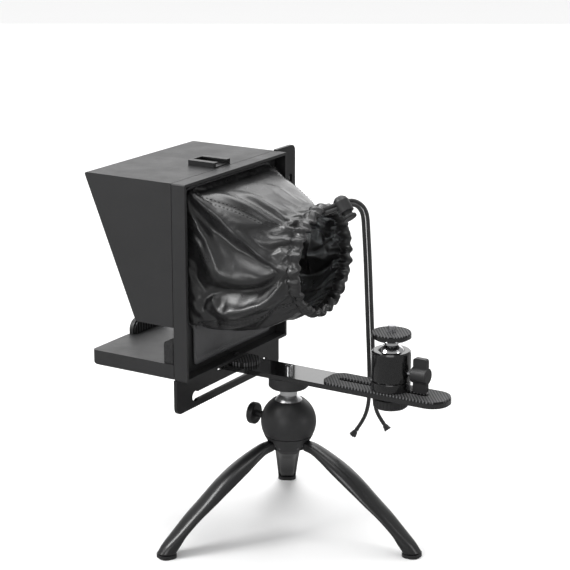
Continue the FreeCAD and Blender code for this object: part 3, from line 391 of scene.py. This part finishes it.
def place_camera(scene, sizes):
    data = bpy.data.cameras.new("Camera")
    data.sensor_width = 36.0
    data.lens = sizes.lens
    data.clip_start, data.clip_end = 0.01, 100.0
    camera = bpy.data.objects.new("Camera", data)
    camera.location = CAMERA_PLACE
    camera.rotation_euler = (sizes.tilt, 0.0, sizes.turn)
    scene.collection.objects.link(camera)
    scene.camera = camera


def lay_floor(scene):
    bm = bmesh.new()
    bmesh.ops.create_grid(bm, x_segments=1, y_segments=1, size=FLOOR_SIZE)
    mesh = bpy.data.meshes.new("floor")
    bm.to_mesh(mesh)
    bm.free()
    floor = bpy.data.objects.new("floor", mesh)
    scene.collection.objects.link(floor)
    paper = FinishMaker("floor_paper", (0.93, 0.93, 0.93), 0.8)
    paper.relief(paper.noise(40.0, 3.0), 0.0005, 0.1)
    mesh.materials.append(FINISHES["floor_paper"])
    floor.visible_glossy = False


def light_from_all_round(scene, sizes):
    world = bpy.data.worlds.new("World")
    world.use_nodes = True
    background = world.node_tree.nodes["Background"]
    background.inputs["Color"].default_value = (1, 1, 1, 1)
    background.inputs["Strength"].default_value = sizes.sky
    scene.world = world
    data = bpy.data.lights.new("even_light", "SUN")
    data.energy, data.angle = DAYLIGHT_STRENGTH * sizes.power, DAYLIGHT_ANGLE
    daylight = bpy.data.objects.new("even_light", data)
    daylight.rotation_euler = DAYLIGHT_TURN
    scene.collection.objects.link(daylight)


def soft_lamp(scene, name, place, size, power):
    data = bpy.data.lights.new(name, "AREA")
    data.shape = "RECTANGLE"
    data.size, data.size_y = size
    data.energy = power
    lamp = bpy.data.objects.new(name, data)
    lamp.visible_camera = False
    lamp.location = place
    way = Vector(LIT_SPOT) - Vector(place)
    lamp.rotation_euler = way.to_track_quat("-Z", "Y").to_euler()
    scene.collection.objects.link(lamp)


class PROMPTER_OT_stage(bpy.types.Operator):
    """Set up the camera, the pale floor and the soft lights"""

    bl_idname = "prompter.stage"
    bl_label = "Stage"

    def execute(self, context):
        scene, sizes = context.scene, context.scene.prompter_stage
        place_camera(scene, sizes)
        lay_floor(scene)
        light_from_all_round(scene, sizes)
        for name, (place, size, power) in LAMPS.items():
            soft_lamp(scene, name, place, size, power * sizes.power)
        scene.view_settings.view_transform = "Standard"
        return {"FINISHED"}


# --- Drawstring ---------------------------------------------------------------------------------

# The middle line of each strand from the hem, over the lock and down to its cut end, in metres.
CORD_ROUTES = {
    "drawstring_a": [
        (0.03533, -0.00305, 0.28045), (0.04174, 0.00346, 0.28329), (0.04782, 0.01564, 0.28589),
        (0.0503, 0.0211, 0.28414), (0.05155, 0.02577, 0.28003), (0.05232, 0.02889, 0.27457),
        (0.05322, 0.02912, 0.26175), (0.05502, 0.02912, 0.23678), (0.05742, 0.02912, 0.18879),
        (0.05962, 0.02912, 0.14781), (0.06022, 0.02912, 0.12384), (0.05862, 0.02912, 0.10984),
        (0.05422, 0.02912, 0.09884), (0.04792, 0.02912, 0.08934),
    ],
    "drawstring_b": [
        (0.03319, -0.00221, 0.28335), (0.03945, 0.00417, 0.28611), (0.04563, 0.01661, 0.28871),
        (0.04938, 0.02322, 0.28703), (0.05331, 0.02809, 0.28232), (0.05571, 0.03024, 0.2752),
        (0.0568, 0.03001, 0.26202), (0.05861, 0.03001, 0.23699), (0.06101, 0.03001, 0.18898),
        (0.06321, 0.03001, 0.14796), (0.06381, 0.03001, 0.12393), (0.06541, 0.03001, 0.11243),
        (0.06901, 0.03001, 0.10493), (0.07381, 0.03001, 0.09943),
    ],
}
BRAID_SIDES = 16
BRAID_STEP = 0.6 * MM
BRAID_LAY = 2.6 * MM
END_LENGTH, END_OVERLAP = 7.2 * MM, 1.4 * MM


def spline_line(name, route):
    """Evenly read points along the route's own smooth spline."""
    curve = bpy.data.curves.new(name, "CURVE")
    curve.dimensions = "3D"
    curve.resolution_u = 24
    spline = curve.splines.new("NURBS")
    spline.points.add(len(route) - 1)
    for point, place in zip(spline.points, route):
        point.co = (*place, 1.0)
    spline.order_u = 3
    spline.use_endpoint_u = True
    holder = bpy.data.objects.new(name, curve)
    bpy.context.scene.collection.objects.link(holder)
    line = bpy.data.meshes.new_from_object(holder)
    points = [vert.co.copy() for vert in line.vertices]
    bpy.data.objects.remove(holder)
    bpy.data.meshes.remove(line)
    return points


def even_points(points, step):
    """The same line read at an even spacing."""
    total = sum((b - a).length for a, b in zip(points, points[1:]))
    count = max(2, round(total / step))
    wanted = [total * index / count for index in range(count + 1)]
    even, travelled, cursor = [], 0.0, 0
    for a, b in zip(points, points[1:]):
        run = (b - a).length
        while cursor <= count and wanted[cursor] <= travelled + run + 1e-9:
            even.append(a.lerp(b, min(max((wanted[cursor] - travelled) / run, 0.0), 1.0)))
            cursor += 1
        travelled += run
    return even


def carried_frames(points):
    """A steady sideways direction at each point, carried along without twisting."""
    frames, side = [], None
    for index, point in enumerate(points):
        after = points[min(index + 1, len(points) - 1)]
        before = points[max(index - 1, 0)]
        way = (after - before).normalized()
        if side is None:
            side = way.orthogonal().normalized()
        side = (side - way * side.dot(way)).normalized()
        frames.append((point, side, way.cross(side)))
    return frames


def braided_tube(points, radius):
    """A round woven tube: crossing yarns stand a little proud of each other."""
    frames = carried_frames(points)
    rows = len(frames) - 1

    def place(u, v):
        index = round(v * rows)
        point, side, across = frames[index]
        turn = 2 * math.pi * u
        lay = index * BRAID_STEP / BRAID_LAY * 2 * math.pi
        weave = math.sin(4 * turn + lay) * math.sin(4 * turn - lay)
        reach = radius * (1.0 + 0.05 * weave)
        return point + side * (math.cos(turn) * reach) + across * (math.sin(turn) * reach)

    bm = mapped_grid(BRAID_SIDES, rows, place, close_across=True)
    cap_ends(bm)
    outward(bm)
    return bm


def frayed_end(start, way, radius, length):
    """The cord's cut end: its yarns spread into a short flared tuft with a ragged rim."""
    side = way.orthogonal().normalized()
    across = way.cross(side)
    rows = 22

    def place(u, v):
        turn = 2 * math.pi * u
        share = min(v * 1.25, 1.0)
        inward = max(v * 1.25 - 1.0, 0.0) / 0.25
        ragged = 0.10 * math.sin(9 * turn + 1.0) + 0.07 * math.sin(17 * turn)
        pinch = 1.22 - 0.35 * math.sin(math.pi * min(share * 2.4, 1.0))
        reach = radius * (pinch + 0.62 * share ** 2.2) * (1 + ragged * share) * (1 - inward)
        along = length * (share + 0.16 * ragged * share ** 3 - 0.12 * inward)
        return (start + way * along
                + side * (math.cos(turn) * reach) + across * (math.sin(turn) * reach))

    bm = mapped_grid(36, rows, place, close_across=True)
    cap_ends(bm)
    outward(bm)
    return bm


class PROMPTER_OT_drawstring(bpy.types.Operator):
    """Lay the two strands of the drawstring and fray their cut ends"""

    bl_idname = "prompter.drawstring"
    bl_label = "Drawstring"

    def execute(self, context):
        radius = context.scene.prompter_shroud.cord_width / 2
        for name, route in CORD_ROUTES.items():
            points = even_points(spline_line(name, route), BRAID_STEP)
            cord = new_piece(name + "_cord", braided_tube(points, radius), "woven_cord",
                             "prompter", [name])
            knot_name = name.replace("drawstring_", "drawstring_knot_")
            way = (points[-1] - points[-3]).normalized()
            start = points[-1] - way * END_OVERLAP
            end = new_piece(name + "_end", frayed_end(start, way, radius, END_LENGTH),
                            "woven_cord", "prompter", [knot_name])
        return {"FINISHED"}


# --- Shroud -------------------------------------------------------------------------------------

# Each section: distance behind the plate, half width, half height, middle's height, squareness.
SLEEVE_SECTIONS = [
    (2.5, 63.0, 57.0, 99.4, 26.0),
    (10.0, 62.0, 57.5, 99.0, 12.0),
    (22.0, 60.0, 57.0, 98.6, 6.5),
    (45.0, 55.5, 53.5, 97.8, 3.8),
    (67.0, 48.0, 47.0, 96.8, 2.6),
    (83.0, 41.5, 41.5, 96.0, 2.0),
]
# Folds of the leatherette: height and half breadth in mm, where each starts and ends along the
# sleeve, then its course as (share along, turn) pairs. A minus height is a hollow.
SLEEVE_FOLDS = [
    (4.2, 5.5, 0.02, 1.0, [(0.0, 0.386), (0.3, 0.402), (0.5, 0.425), (0.75, 0.465), (1.0, 0.498)]),
    (-4.0, 7.0, 0.1, 0.95,
     [(0.0, 0.405), (0.3, 0.430), (0.55, 0.462), (0.8, 0.488), (1.0, 0.502)]),
    (9.5, 15.0, 0.20, 0.96, [(0.0, 0.522), (0.4, 0.512), (0.7, 0.508), (1.0, 0.510)]),
    (-5.0, 6.0, 0.22, 0.98, [(0.0, 0.585), (0.35, 0.552), (0.6, 0.545), (1.0, 0.522)]),
    (8.0, 9.5, 0.34, 1.0, [(0.0, 0.600), (0.5, 0.586), (0.75, 0.578), (1.0, 0.560)]),
    (-4.0, 5.0, 0.10, 0.9, [(0.0, 0.625), (0.4, 0.618), (0.8, 0.606), (1.0, 0.600)]),
    (3.0, 5.0, 0.25, 1.0, [(0.0, 0.345), (0.5, 0.352), (0.8, 0.362), (1.0, 0.372)]),
    (3.2, 6.0, 0.35, 1.0, [(0.0, 0.300), (0.5, 0.315), (1.0, 0.335)]),
    (-2.4, 5.0, 0.35, 1.0, [(0.0, 0.325), (0.5, 0.335), (1.0, 0.352)]),
    (2.6, 6.0, 0.40, 1.0, [(0.0, 0.210), (0.5, 0.225), (1.0, 0.245)]),
    (3.4, 8.0, 0.20, 1.0, [(0.0, 0.690), (0.5, 0.680), (1.0, 0.665)]),
    (-3.0, 5.0, 0.30, 1.0, [(0.0, 0.720), (0.5, 0.712), (1.0, 0.700)]),
    (3.0, 8.0, 0.15, 1.0, [(0.0, 0.780), (0.5, 0.770), (1.0, 0.750)]),
    (4.0, 8.0, 0.20, 1.0, [(0.0, 0.920), (0.5, 0.930), (1.0, 0.950)]),
    (-3.4, 6.0, 0.20, 1.0, [(0.0, 0.960), (0.5, 0.975), (1.0, 0.990)]),
    (4.2, 9.0, 0.15, 1.0, [(0.0, 0.040), (0.5, 0.035), (1.0, 0.020)]),
    (-3.0, 5.0, 0.25, 1.0, [(0.0, 0.085), (0.5, 0.080), (1.0, 0.062)]),
]
SLEEVE_AROUND, SLEEVE_ALONG = 160, 52
# How far the sleeve runs on under the hem, in mm.
SLEEVE_TUCK = 1.5
# The plate's rear face, the sleeve's middle across and the frame's lower inside face, in metres.
PLATE_BACK = -0.05864
SLEEVE_MIDDLE_Y = -0.00103
FRAME_FLOOR = 0.1443
# Where the four seams run, as shares of a turn, and the depth and spacing of their stitches.
SEAM_TURNS = (0.125, 0.375, 0.625, 0.875)
SEAM_DEPTH, SEAM_STITCH_GAP = 0.9 * MM, 1.7 * MM
SEAM_PITCH, SEAM_STITCH, STITCH_THICK, SEAM_LIFT = 3.4 * MM, 2.5 * MM, 0.5 * MM, 0.15 * MM
# The gathers stand out this far from the sleeve's end.
GATHER_SIZE = 1.5


def sleeve_section(behind):
    """The section's sizes at a distance behind the plate, in metres."""
    rows = SLEEVE_SECTIONS
    for low, high in zip(rows, rows[1:]):
        if behind <= high[0]:
            share = min(max((behind - low[0]) / (high[0] - low[0]), 0.0), 1.0)
            return [blend_numbers(a, b, share) for a, b in zip(low[1:], high[1:])]
    return list(rows[-1][1:])


def section_outline(half_y, half_z, square, count=720):
    """Points at even arc lengths round a squared oval, starting at the +Y side."""
    dense = []
    for index in range(count + 1):
        turn = 2 * math.pi * index / count
        c, s = math.cos(turn), math.sin(turn)
        y = math.copysign(abs(c) ** (2 / square), c) * half_y
        z = math.copysign(abs(s) ** (2 / square), s) * half_z
        dense.append(Vector((y, z)))
    lengths = [0.0]
    for a, b in zip(dense, dense[1:]):
        lengths.append(lengths[-1] + (b - a).length)
    return dense, lengths


def outline_at(outline, share):
    dense, lengths = outline
    goal = (share % 1.0) * lengths[-1]
    low, high = 0, len(lengths) - 1
    while high - low > 1:
        middle = (low + high) // 2
        if lengths[middle] <= goal:
            low = middle
        else:
            high = middle
    run = lengths[high] - lengths[low]
    return dense[low].lerp(dense[high], (goal - lengths[low]) / run if run else 0.0)


def gather(share):
    """How far the gathered edge stands out or in at a turn: uneven pinched pleats."""
    turn = 2 * math.pi * share
    wander = 0.55 * math.sin(3 * turn + 0.7) + 0.35 * math.sin(7 * turn + 2.1)
    pleat = math.sin(27 * turn + 2.2 * wander)
    finer = 0.35 * math.sin(51 * turn + 1.3 + 1.7 * wander)
    size = 0.75 + 0.35 * math.sin(2 * turn + 4.0) + 0.2 * math.sin(5 * turn + 1.0)
    return size * (math.copysign(abs(pleat) ** 0.7, pleat) + finer)


def fold_push(u, v, around):
    """How far the folds lift the leatherette at a place on the sleeve, in metres."""
    lift = 0.0
    for height, breadth, start, end, course in SLEEVE_FOLDS:
        rise = smooth_step(start - 0.12, start + 0.16, v)
        held = rise * (1 - 0.55 * smooth_step(end - 0.25, end, v))
        for (v0, u0), (v1, u1) in zip(course, course[1:]):
            if v0 <= v <= v1 + 1e-9:
                share = smooth_step(v0, v1, v) * 0.4 + 0.6 * (v - v0) / (v1 - v0)
                centre = blend_numbers(u0, u1, share)
                away = (u - centre + 0.5) % 1.0 - 0.5
                spread = away * around / (breadth * MM * (1 - 0.45 * v))
                lift += height * MM * held * math.exp(-spread * spread)
                break
    return lift


def sleeve_point(u, v, outlines):
    """A point of the unfolded sleeve: u goes round it, v from the plate to the hem."""
    behind = blend_numbers(SLEEVE_SECTIONS[0][0], SLEEVE_SECTIONS[-1][0] + SLEEVE_TUCK, v)
    row = round(v * SLEEVE_ALONG)
    half_y, half_z, middle_z, square = sleeve_section(behind)
    if row not in outlines:
        outlines[row] = section_outline(half_y * MM, half_z * MM, square)
    spot = outline_at(outlines[row], u)
    out = Vector((spot.x, spot.y)).normalized()
    pinch = smooth_step(0.55, 1.0, v) ** 1.5
    push = gather(u) * GATHER_SIZE * MM * pinch + fold_push(u, v, outlines[row][1][-1])
    turn = 2 * math.pi * u
    rough = noise.noise(Vector((math.cos(turn) * 2.2, math.sin(turn) * 2.2, v * 3)))
    push += rough * 1.4 * MM * math.sin(math.pi * min(v * 1.15, 1.0))
    return Vector((
        PLATE_BACK + behind * MM,
        SLEEVE_MIDDLE_Y + spot.x + out.x * push,
        FRAME_FLOOR + middle_z * MM + spot.y + out.y * push,
    ))


def settle_sleeve(piece, sizes):
    """Lets the slack leatherette buckle into folds between its two held ends."""
    held = piece.vertex_groups.new(name="held")
    start = [vert.co.copy() for vert in piece.data.vertices]
    low_x = min(point.x for point in start)
    high_x = max(point.x for point in start)
    for index, point in enumerate(start):
        share = (point.x - low_x) / (high_x - low_x)
        weight = max(1 - share / 0.03, smooth_step(0.93, 0.99, share))
        if weight > 0:
            held.add([index], min(weight, 1.0), "REPLACE")
    cloth = piece.modifiers.new("Cloth", "CLOTH")
    settings = cloth.settings
    settings.quality = 6
    settings.mass = 0.35
    settings.tension_stiffness = settings.compression_stiffness = 22
    settings.shear_stiffness = 8
    settings.bending_stiffness = 2.2
    settings.vertex_group_mass = "held"
    settings.shrink_min = -sizes.slack
    settings.use_pressure = True
    settings.uniform_pressure_force = 0.3
    settings.effector_weights.gravity = 0.2
    cloth.point_cache.frame_start, cloth.point_cache.frame_end = 1, 40
    scene = bpy.context.scene
    for number in range(1, sizes.settle_frames + 1):
        scene.frame_set(number)
    graph = bpy.context.evaluated_depsgraph_get()
    settled = piece.evaluated_get(graph).to_mesh()
    moved = [vert.co.copy() for vert in settled.vertices]
    piece.evaluated_get(graph).to_mesh_clear()
    piece.modifiers.remove(cloth)
    piece.vertex_groups.clear()
    scene.frame_set(1)
    limit = sizes.fold_limit
    for vert, old, new in zip(piece.data.vertices, start, moved):
        step = new - old
        if step.length > limit:
            step *= limit / step.length
        vert.co = old + step


def sleeve_line(piece, turn):
    """The points and outward normals along one column of the sleeve."""
    mesh = piece.data
    layer = mesh.uv_layers.active.data
    column = {}
    for loop in mesh.loops:
        u, v = layer[loop.index].uv
        if abs(u - turn) < 0.5 / SLEEVE_AROUND:
            column[round(v * SLEEVE_ALONG)] = mesh.vertices[loop.vertex_index]
    rows = [column[key] for key in sorted(column)]
    return [vert.co.copy() for vert in rows], [vert.normal.copy() for vert in rows]


def make_sleeve(sizes):
    outlines = {}
    bm = mapped_grid(SLEEVE_AROUND, SLEEVE_ALONG, lambda u, v: sleeve_point(u, v, outlines),
                     close_across=True)
    outward(bm)
    sleeve = new_piece("sleeve", bm, "leatherette", "prompter", ["shroud"])
    settle_sleeve(sleeve, sizes)
    seams = [sleeve_line(sleeve, turn) for turn in SEAM_TURNS]
    bm = bmesh.new()
    for points, normals in seams:
        for side in (-1, 1):
            row, ups = [], []
            for point, normal, ahead in zip(points, normals, points[1:]):
                across = (ahead - point).normalized().cross(normal)
                row.append(point + across * (side * SEAM_STITCH_GAP))
                ups.append(normal)
            stitch_row(bm, row, ups, SEAM_PITCH, SEAM_STITCH, STITCH_THICK, SEAM_LIFT)
    stitches = new_piece("sleeve_stitches", bm, "thread", "prompter")
    for points, normals in seams:
        seam_set = {tuple(round(c, 6) for c in point) for point in points}
        for vert in sleeve.data.vertices:
            if tuple(round(c, 6) for c in vert.co) in seam_set:
                vert.co -= vert.normal * SEAM_DEPTH
    add_modifier(sleeve, "SOLIDIFY", thickness=sizes.leather, offset=-1.0)
    subdivided(sleeve)
    return sleeve, stitches


HEM_INNER, HEM_OUTER = 38.6 * MM, 45.0 * MM
HEM_AROUND, HEM_ACROSS = 324, 20


def make_hem():
    """The gathered channel round the lens and the short frill behind it."""
    middle, low, high = node_middle("shroud_hem")
    front = low.x - 0.5 * MM
    length = high.x - front

    def place(u, v):
        fold = gather(u)
        turn = 2 * math.pi * u
        around = 2 * math.pi * v
        bulge = (HEM_OUTER - HEM_INNER) / 2 * (1 + 0.16 * math.sin(40 * turn + 2 * fold))
        radius = (HEM_OUTER + HEM_INNER) / 2 + math.cos(around) * bulge + fold * 1.35 * MM
        radius += noise.noise(Vector((u * 40, v * 4, 3.1))) * 1.1 * MM
        along = front + length * (0.5 - 0.5 * math.sin(around) * (1 + 0.14 * math.sin(23 * turn)))
        along += 0.5 * MM * math.sin(31 * turn + 1.0)
        return Vector((
            along,
            middle.y + math.cos(turn) * radius,
            middle.z + math.sin(turn) * radius,
        ))

    bm = mapped_grid(HEM_AROUND, HEM_ACROSS, place, close_across=True, close_along=True)
    outward(bm)
    hem = new_piece("hem", bm, "leatherette", "prompter", ["shroud_hem"])
    subdivided(hem)
    return hem


# The flange's hole stands this far above its lower edge, which leaves the stitched flap.
FLAP_HEIGHT, FLANGE_TOP_MARGIN, FLANGE_SIDE_MARGIN = 36 * MM, 4 * MM, 5 * MM
# The flap's near edge is set in by this much.
FLAP_NEAR_INSET = 9 * MM
FLAP_PITCH, FLAP_STITCH, FLAP_STITCH_INSET = 3.6 * MM, 2.6 * MM, 5.2 * MM


def make_flange():
    """The flat leatherette panel against the plate, edged and stitched."""
    middle, low, high = node_middle("shroud_flange")
    half = (high - low) / 2
    outer = section_outline(half.y - 0.8 * MM, half.z - 0.8 * MM, 40.0)
    hole_low, hole_high = low.z + FLAP_HEIGHT, high.z - FLANGE_TOP_MARGIN
    inner = section_outline(half.y - FLANGE_SIDE_MARGIN, (hole_high - hole_low) / 2, 24.0)
    surface = high.x - 0.9 * MM
    # Share of the way in from the edge, and how far the surface stands up there.
    profile = [(0.0, -1.4), (0.0, -0.3), (0.015, 0.3), (0.10, 0.35), (0.13, 0.0), (0.155, -0.25),
               (0.18, 0.0), (0.22, 0.15), (0.45, 0.0), (0.75, 0.1), (1.0, -0.6)]

    def place(u, v):
        share, lift = profile[round(v * (len(profile) - 1))]
        edge, rim = outline_at(outer, u), outline_at(inner, u)
        y = middle.y + blend_numbers(edge.x, rim.x, share)
        z = blend_numbers(middle.z + edge.y, (hole_low + hole_high) / 2 + rim.y, share)
        narrow = 1 - smooth_step(hole_low - 4 * MM, hole_low + 6 * MM, z)
        near = max(-(y - middle.y) / half.y, 0.0)
        sag = noise.noise(Vector((y * 30, z * 30, 0.5))) * 0.35 * MM
        return Vector((surface + lift * MM + sag, y + FLAP_NEAR_INSET * near * narrow, z))

    bm = mapped_grid(220, len(profile) - 1, place, close_across=True)
    outward(bm)
    # The flange wears the leatherette copy that is painted lighter, a painted sheen.
    flange = new_piece("flange", bm, "leatherette_painted_lighter", "prompter",
                       ["shroud_flange"])
    add_modifier(flange, "SOLIDIFY", thickness=0.9 * MM, offset=-1.0)
    subdivided(flange)
    bm = bmesh.new()
    inset, flap_top = FLAP_STITCH_INSET, hole_low - 3 * MM
    thread_at = high.x - 1.0 * MM
    near_side = low.y + FLAP_NEAR_INSET + inset
    corners = [(near_side, flap_top), (near_side, low.z + inset),
               (high.y - inset, low.z + inset), (high.y - inset, flap_top)]
    for a, b in zip(corners, corners[1:]):
        ends = [Vector((thread_at, *a)), Vector((thread_at, *b))]
        stitch_row(bm, ends, [Vector((1, 0, 0))] * 2, FLAP_PITCH, FLAP_STITCH, STITCH_THICK)
    new_piece("flange_stitches", bm, "thread", "prompter")


class PROMPTER_OT_shroud(bpy.types.Operator):
    """Sew the leatherette shroud: flange, folded sleeve and gathered hem"""

    bl_idname = "prompter.shroud"
    bl_label = "Shroud"

    def execute(self, context):
        sizes = context.scene.prompter_shroud
        sleeve, stitches = make_sleeve(sizes)
        hem = make_hem()
        make_flange()
        return {"FINISHED"}


# --- Legs ---------------------------------------------------------------------------------------

LEG_MIDDLE = Vector((-1.64 * MM, 1.97 * MM, 0))
LEG_ROWS = 44
# Each leg's body and its turn about the tripod, in degrees.
LEG_TURNS = {"leg_1": ("leg_one", 2.0), "leg_2": ("leg_two", 122.0), "leg_3": ("leg_three", 242.0)}
# Outer and inner line of a leg, and half its width: (radius, height) pairs from pivot to foot.
LEG_STATIONS = [
    ((14.6, 81.7), (15.0, 73.2), 4.9),
    ((20.5, 81.3), (22.5, 71.2), 5.0),
    ((28.0, 79.2), (30.0, 67.4), 7.2),
    ((40.0, 73.6), (40.0, 61.6), 9.9),
    ((53.0, 66.4), (50.0, 54.6), 10.9),
    ((67.0, 56.4), (61.0, 46.6), 11.0),
    ((82.4, 42.6), (74.0, 37.6), 10.7),
    ((95.8, 31.2), (87.0, 28.4), 10.0),
    ((108.0, 19.8), (98.5, 17.6), 9.2),
    ((118.4, 10.4), (104.8, 8.8), 8.5),
    ((123.9, 3.1), (109.4, 3.1), 8.0),
]


def leg_station(share):
    """Outer point, inner point and half width at a share of the way down, smoothly joined."""
    spot = share * (len(LEG_STATIONS) - 1)
    index = min(int(spot), len(LEG_STATIONS) - 2)
    local = spot - index
    rows = [LEG_STATIONS[min(max(index + k, 0), len(LEG_STATIONS) - 1)] for k in (-1, 0, 1, 2)]

    def joined(a, b, c, d):
        return 0.5 * (2 * b + (c - a) * local + (2 * a - 5 * b + 4 * c - d) * local ** 2
                      + (3 * b - a - 3 * c + d) * local ** 3)

    outer = [joined(*(row[0][k] for row in rows)) for k in (0, 1)]
    inner = [joined(*(row[1][k] for row in rows)) for k in (0, 1)]
    return outer, inner, joined(*(row[2] for row in rows))


def leg_outline(groove):
    """Half a section from crown to belly: (share of half width, share of depth)."""
    shell = 1 - groove
    return [
        # The rounded shell, from its crown down to its overhanging edge.
        (0.0, 1.0), (0.24, groove + shell * 0.985), (0.46, groove + shell * 0.93),
        (0.66, groove + shell * 0.82), (0.82, groove + shell * 0.64),
        (0.94, groove + shell * 0.40), (1.0, groove + shell * 0.14), (0.995, groove + 0.016),
        # The parting groove.
        (0.96, groove), (0.78, groove - 0.004), (0.71, groove - 0.03),
        # The narrower spine, down to the middle of the belly.
        (0.73, groove - 0.08), (0.73, groove * 0.60), (0.68, groove * 0.30),
        (0.55, groove * 0.10), (0.32, 0.01), (0.0, 0.0),
    ]


def make_leg(name, body, azimuth):
    turn = math.radians(azimuth)
    out = Vector((math.cos(turn), math.sin(turn), 0))
    across = Vector((-math.sin(turn), math.cos(turn), 0))
    half_count = len(leg_outline(0.3)) - 1

    def place(u, v):
        outer, inner, half = leg_station(v)
        groove = blend_numbers(0.86, 0.30, smooth_step(0.10, 0.34, v))
        index = round(u * 2 * half_count) % (2 * half_count)
        side = 1 if index <= half_count else -1
        width, depth = leg_outline(groove)[index if side > 0 else 2 * half_count - index]
        radius = blend_numbers(inner[0], outer[0], depth)
        height = blend_numbers(inner[1], outer[1], depth)
        return (LEG_MIDDLE + out * (radius * MM) + across * (side * width * half * MM)
                + Vector((0, 0, height * MM)))

    bm = mapped_grid(2 * half_count, LEG_ROWS, place, close_across=True)
    cap_ends(bm)
    outward(bm)
    leg = new_piece(name + "_shell", bm, "leg_gloss", body, [name])
    subdivided(leg)


class PROMPTER_OT_legs(bpy.types.Operator):
    """Shape the three legs: a rounded shell over a narrower spine, parted by a groove"""

    bl_idname = "prompter.legs"
    bl_label = "Legs"

    def execute(self, context):
        for name, (body, azimuth) in LEG_TURNS.items():
            make_leg(name, body, azimuth)
        return {"FINISHED"}


# --- Foam strip ---------------------------------------------------------------------------------

class PROMPTER_OT_bumper(bpy.types.Operator):
    """Cut the rough foam strip behind the phone"""

    bl_idname = "prompter.bumper"
    bl_label = "Foam strip"

    def execute(self, context):
        middle, low, high = node_middle("bumper_strip")
        bm = bmesh.new()
        bmesh.ops.create_cube(bm, size=1.0)
        bmesh.ops.scale(bm, verts=bm.verts, vec=high - low - Vector((0.6, 0.6, 0.6)) * MM)
        bmesh.ops.translate(bm, verts=bm.verts, vec=middle)
        bmesh.ops.subdivide_edges(bm, edges=bm.edges, cuts=5, use_grid_fill=True)
        front_top = [e for e in bm.edges if not e.is_boundary
                     and all(v.co.z > high.z - MM and v.co.x < low.x + MM for v in e.verts)]
        bmesh.ops.bevel(bm, geom=front_top, offset=3.6 * MM, segments=5, profile=0.5,
                        affect="EDGES", material=-1)
        long_edges = [e for e in bm.edges if abs((e.verts[0].co - e.verts[1].co).y) > 8 * MM]
        bmesh.ops.subdivide_edges(bm, edges=long_edges, cuts=14, use_grid_fill=True)
        for vert in bm.verts:
            wobble = noise.noise(vert.co * 260)
            vert.co += Vector((0.28, 0.0, 0.28)) * (wobble * MM)
        outward(bm)
        strip = new_piece("foam_strip", bm, "foam", "prompter", ["bumper_strip"])
        return {"FINISHED"}


# --- Settings, panel and run --------------------------------------------------------------------

class PROMPTER_PG_looks(bpy.types.PropertyGroup):
    shell_grey: bpy.props.FloatProperty(
        name="Shell grey", description="Brightness of the hood, frame and tray", default=0.02,
        min=0.0, max=1.0)
    leather_grey: bpy.props.FloatProperty(
        name="Leather grey", description="Brightness of the leatherette", default=0.014, min=0.0)


class PROMPTER_PG_stage(bpy.types.PropertyGroup):
    lens: bpy.props.FloatProperty(
        name="Lens", description="Focal length in millimetres", default=114.59,
        min=10.0, max=300.0)
    tilt: bpy.props.FloatProperty(
        name="Tilt", description="Camera tilt from straight down", default=math.radians(74.4),
        subtype="ANGLE")
    turn: bpy.props.FloatProperty(
        name="Turn", description="Camera turn about the vertical", default=math.radians(31.45),
        subtype="ANGLE")
    sky: bpy.props.FloatProperty(
        name="Sky", description="Strength of the even light from all round", default=0.3, min=0.0)
    power: bpy.props.FloatProperty(
        name="Power", description="Strength of the lamps", default=1.0, min=0.0)


class PROMPTER_PG_shroud(bpy.types.PropertyGroup):
    slack: bpy.props.FloatProperty(
        name="Slack", description="How much more leatherette there is than the gap needs",
        default=0.045, min=0.0, max=0.4)
    settle_frames: bpy.props.IntProperty(
        name="Settling", description="Steps that the leatherette settles for", default=26, min=1)
    fold_limit: bpy.props.FloatProperty(
        name="Fold limit", description="Farthest that a fold may move", default=0.0045,
        unit="LENGTH", subtype="DISTANCE")
    leather: bpy.props.FloatProperty(
        name="Leatherette", description="Thickness of the leatherette", default=0.0011,
        unit="LENGTH", subtype="DISTANCE")
    cord_width: bpy.props.FloatProperty(
        name="Cord width", description="Diameter of the drawstring", default=0.0033,
        unit="LENGTH", subtype="DISTANCE")


STEPS = ("stage", "finishes", "drawstring", "shroud", "legs", "bumper")


class PROMPTER_PT_panel(bpy.types.Panel):
    """Lists the steps that build the teleprompter"""

    bl_idname = "PROMPTER_PT_panel"
    bl_label = "Prompter"
    bl_space_type = "VIEW_3D"
    bl_region_type = "UI"
    bl_category = "Prompter"

    def draw(self, context):
        for step in STEPS:
            self.layout.operator("prompter." + step)


CLASSES = (
    PROMPTER_PG_looks,
    PROMPTER_PG_stage,
    PROMPTER_PG_shroud,
    PROMPTER_OT_stage,
    PROMPTER_OT_finishes,
    PROMPTER_OT_drawstring,
    PROMPTER_OT_shroud,
    PROMPTER_OT_legs,
    PROMPTER_OT_bumper,
    PROMPTER_PT_panel,
)


def register():
    for cls in CLASSES:
        bpy.utils.register_class(cls)
    bpy.types.Scene.prompter_looks = bpy.props.PointerProperty(type=PROMPTER_PG_looks)
    bpy.types.Scene.prompter_stage = bpy.props.PointerProperty(type=PROMPTER_PG_stage)
    bpy.types.Scene.prompter_shroud = bpy.props.PointerProperty(type=PROMPTER_PG_shroud)


def unregister():
    del bpy.types.Scene.prompter_shroud
    del bpy.types.Scene.prompter_stage
    del bpy.types.Scene.prompter_looks
    for cls in reversed(CLASSES):
        bpy.utils.unregister_class(cls)


def main():
    register()
    for step in STEPS:
        getattr(bpy.ops.prompter, step)()


if __name__ == "__main__":
    main()
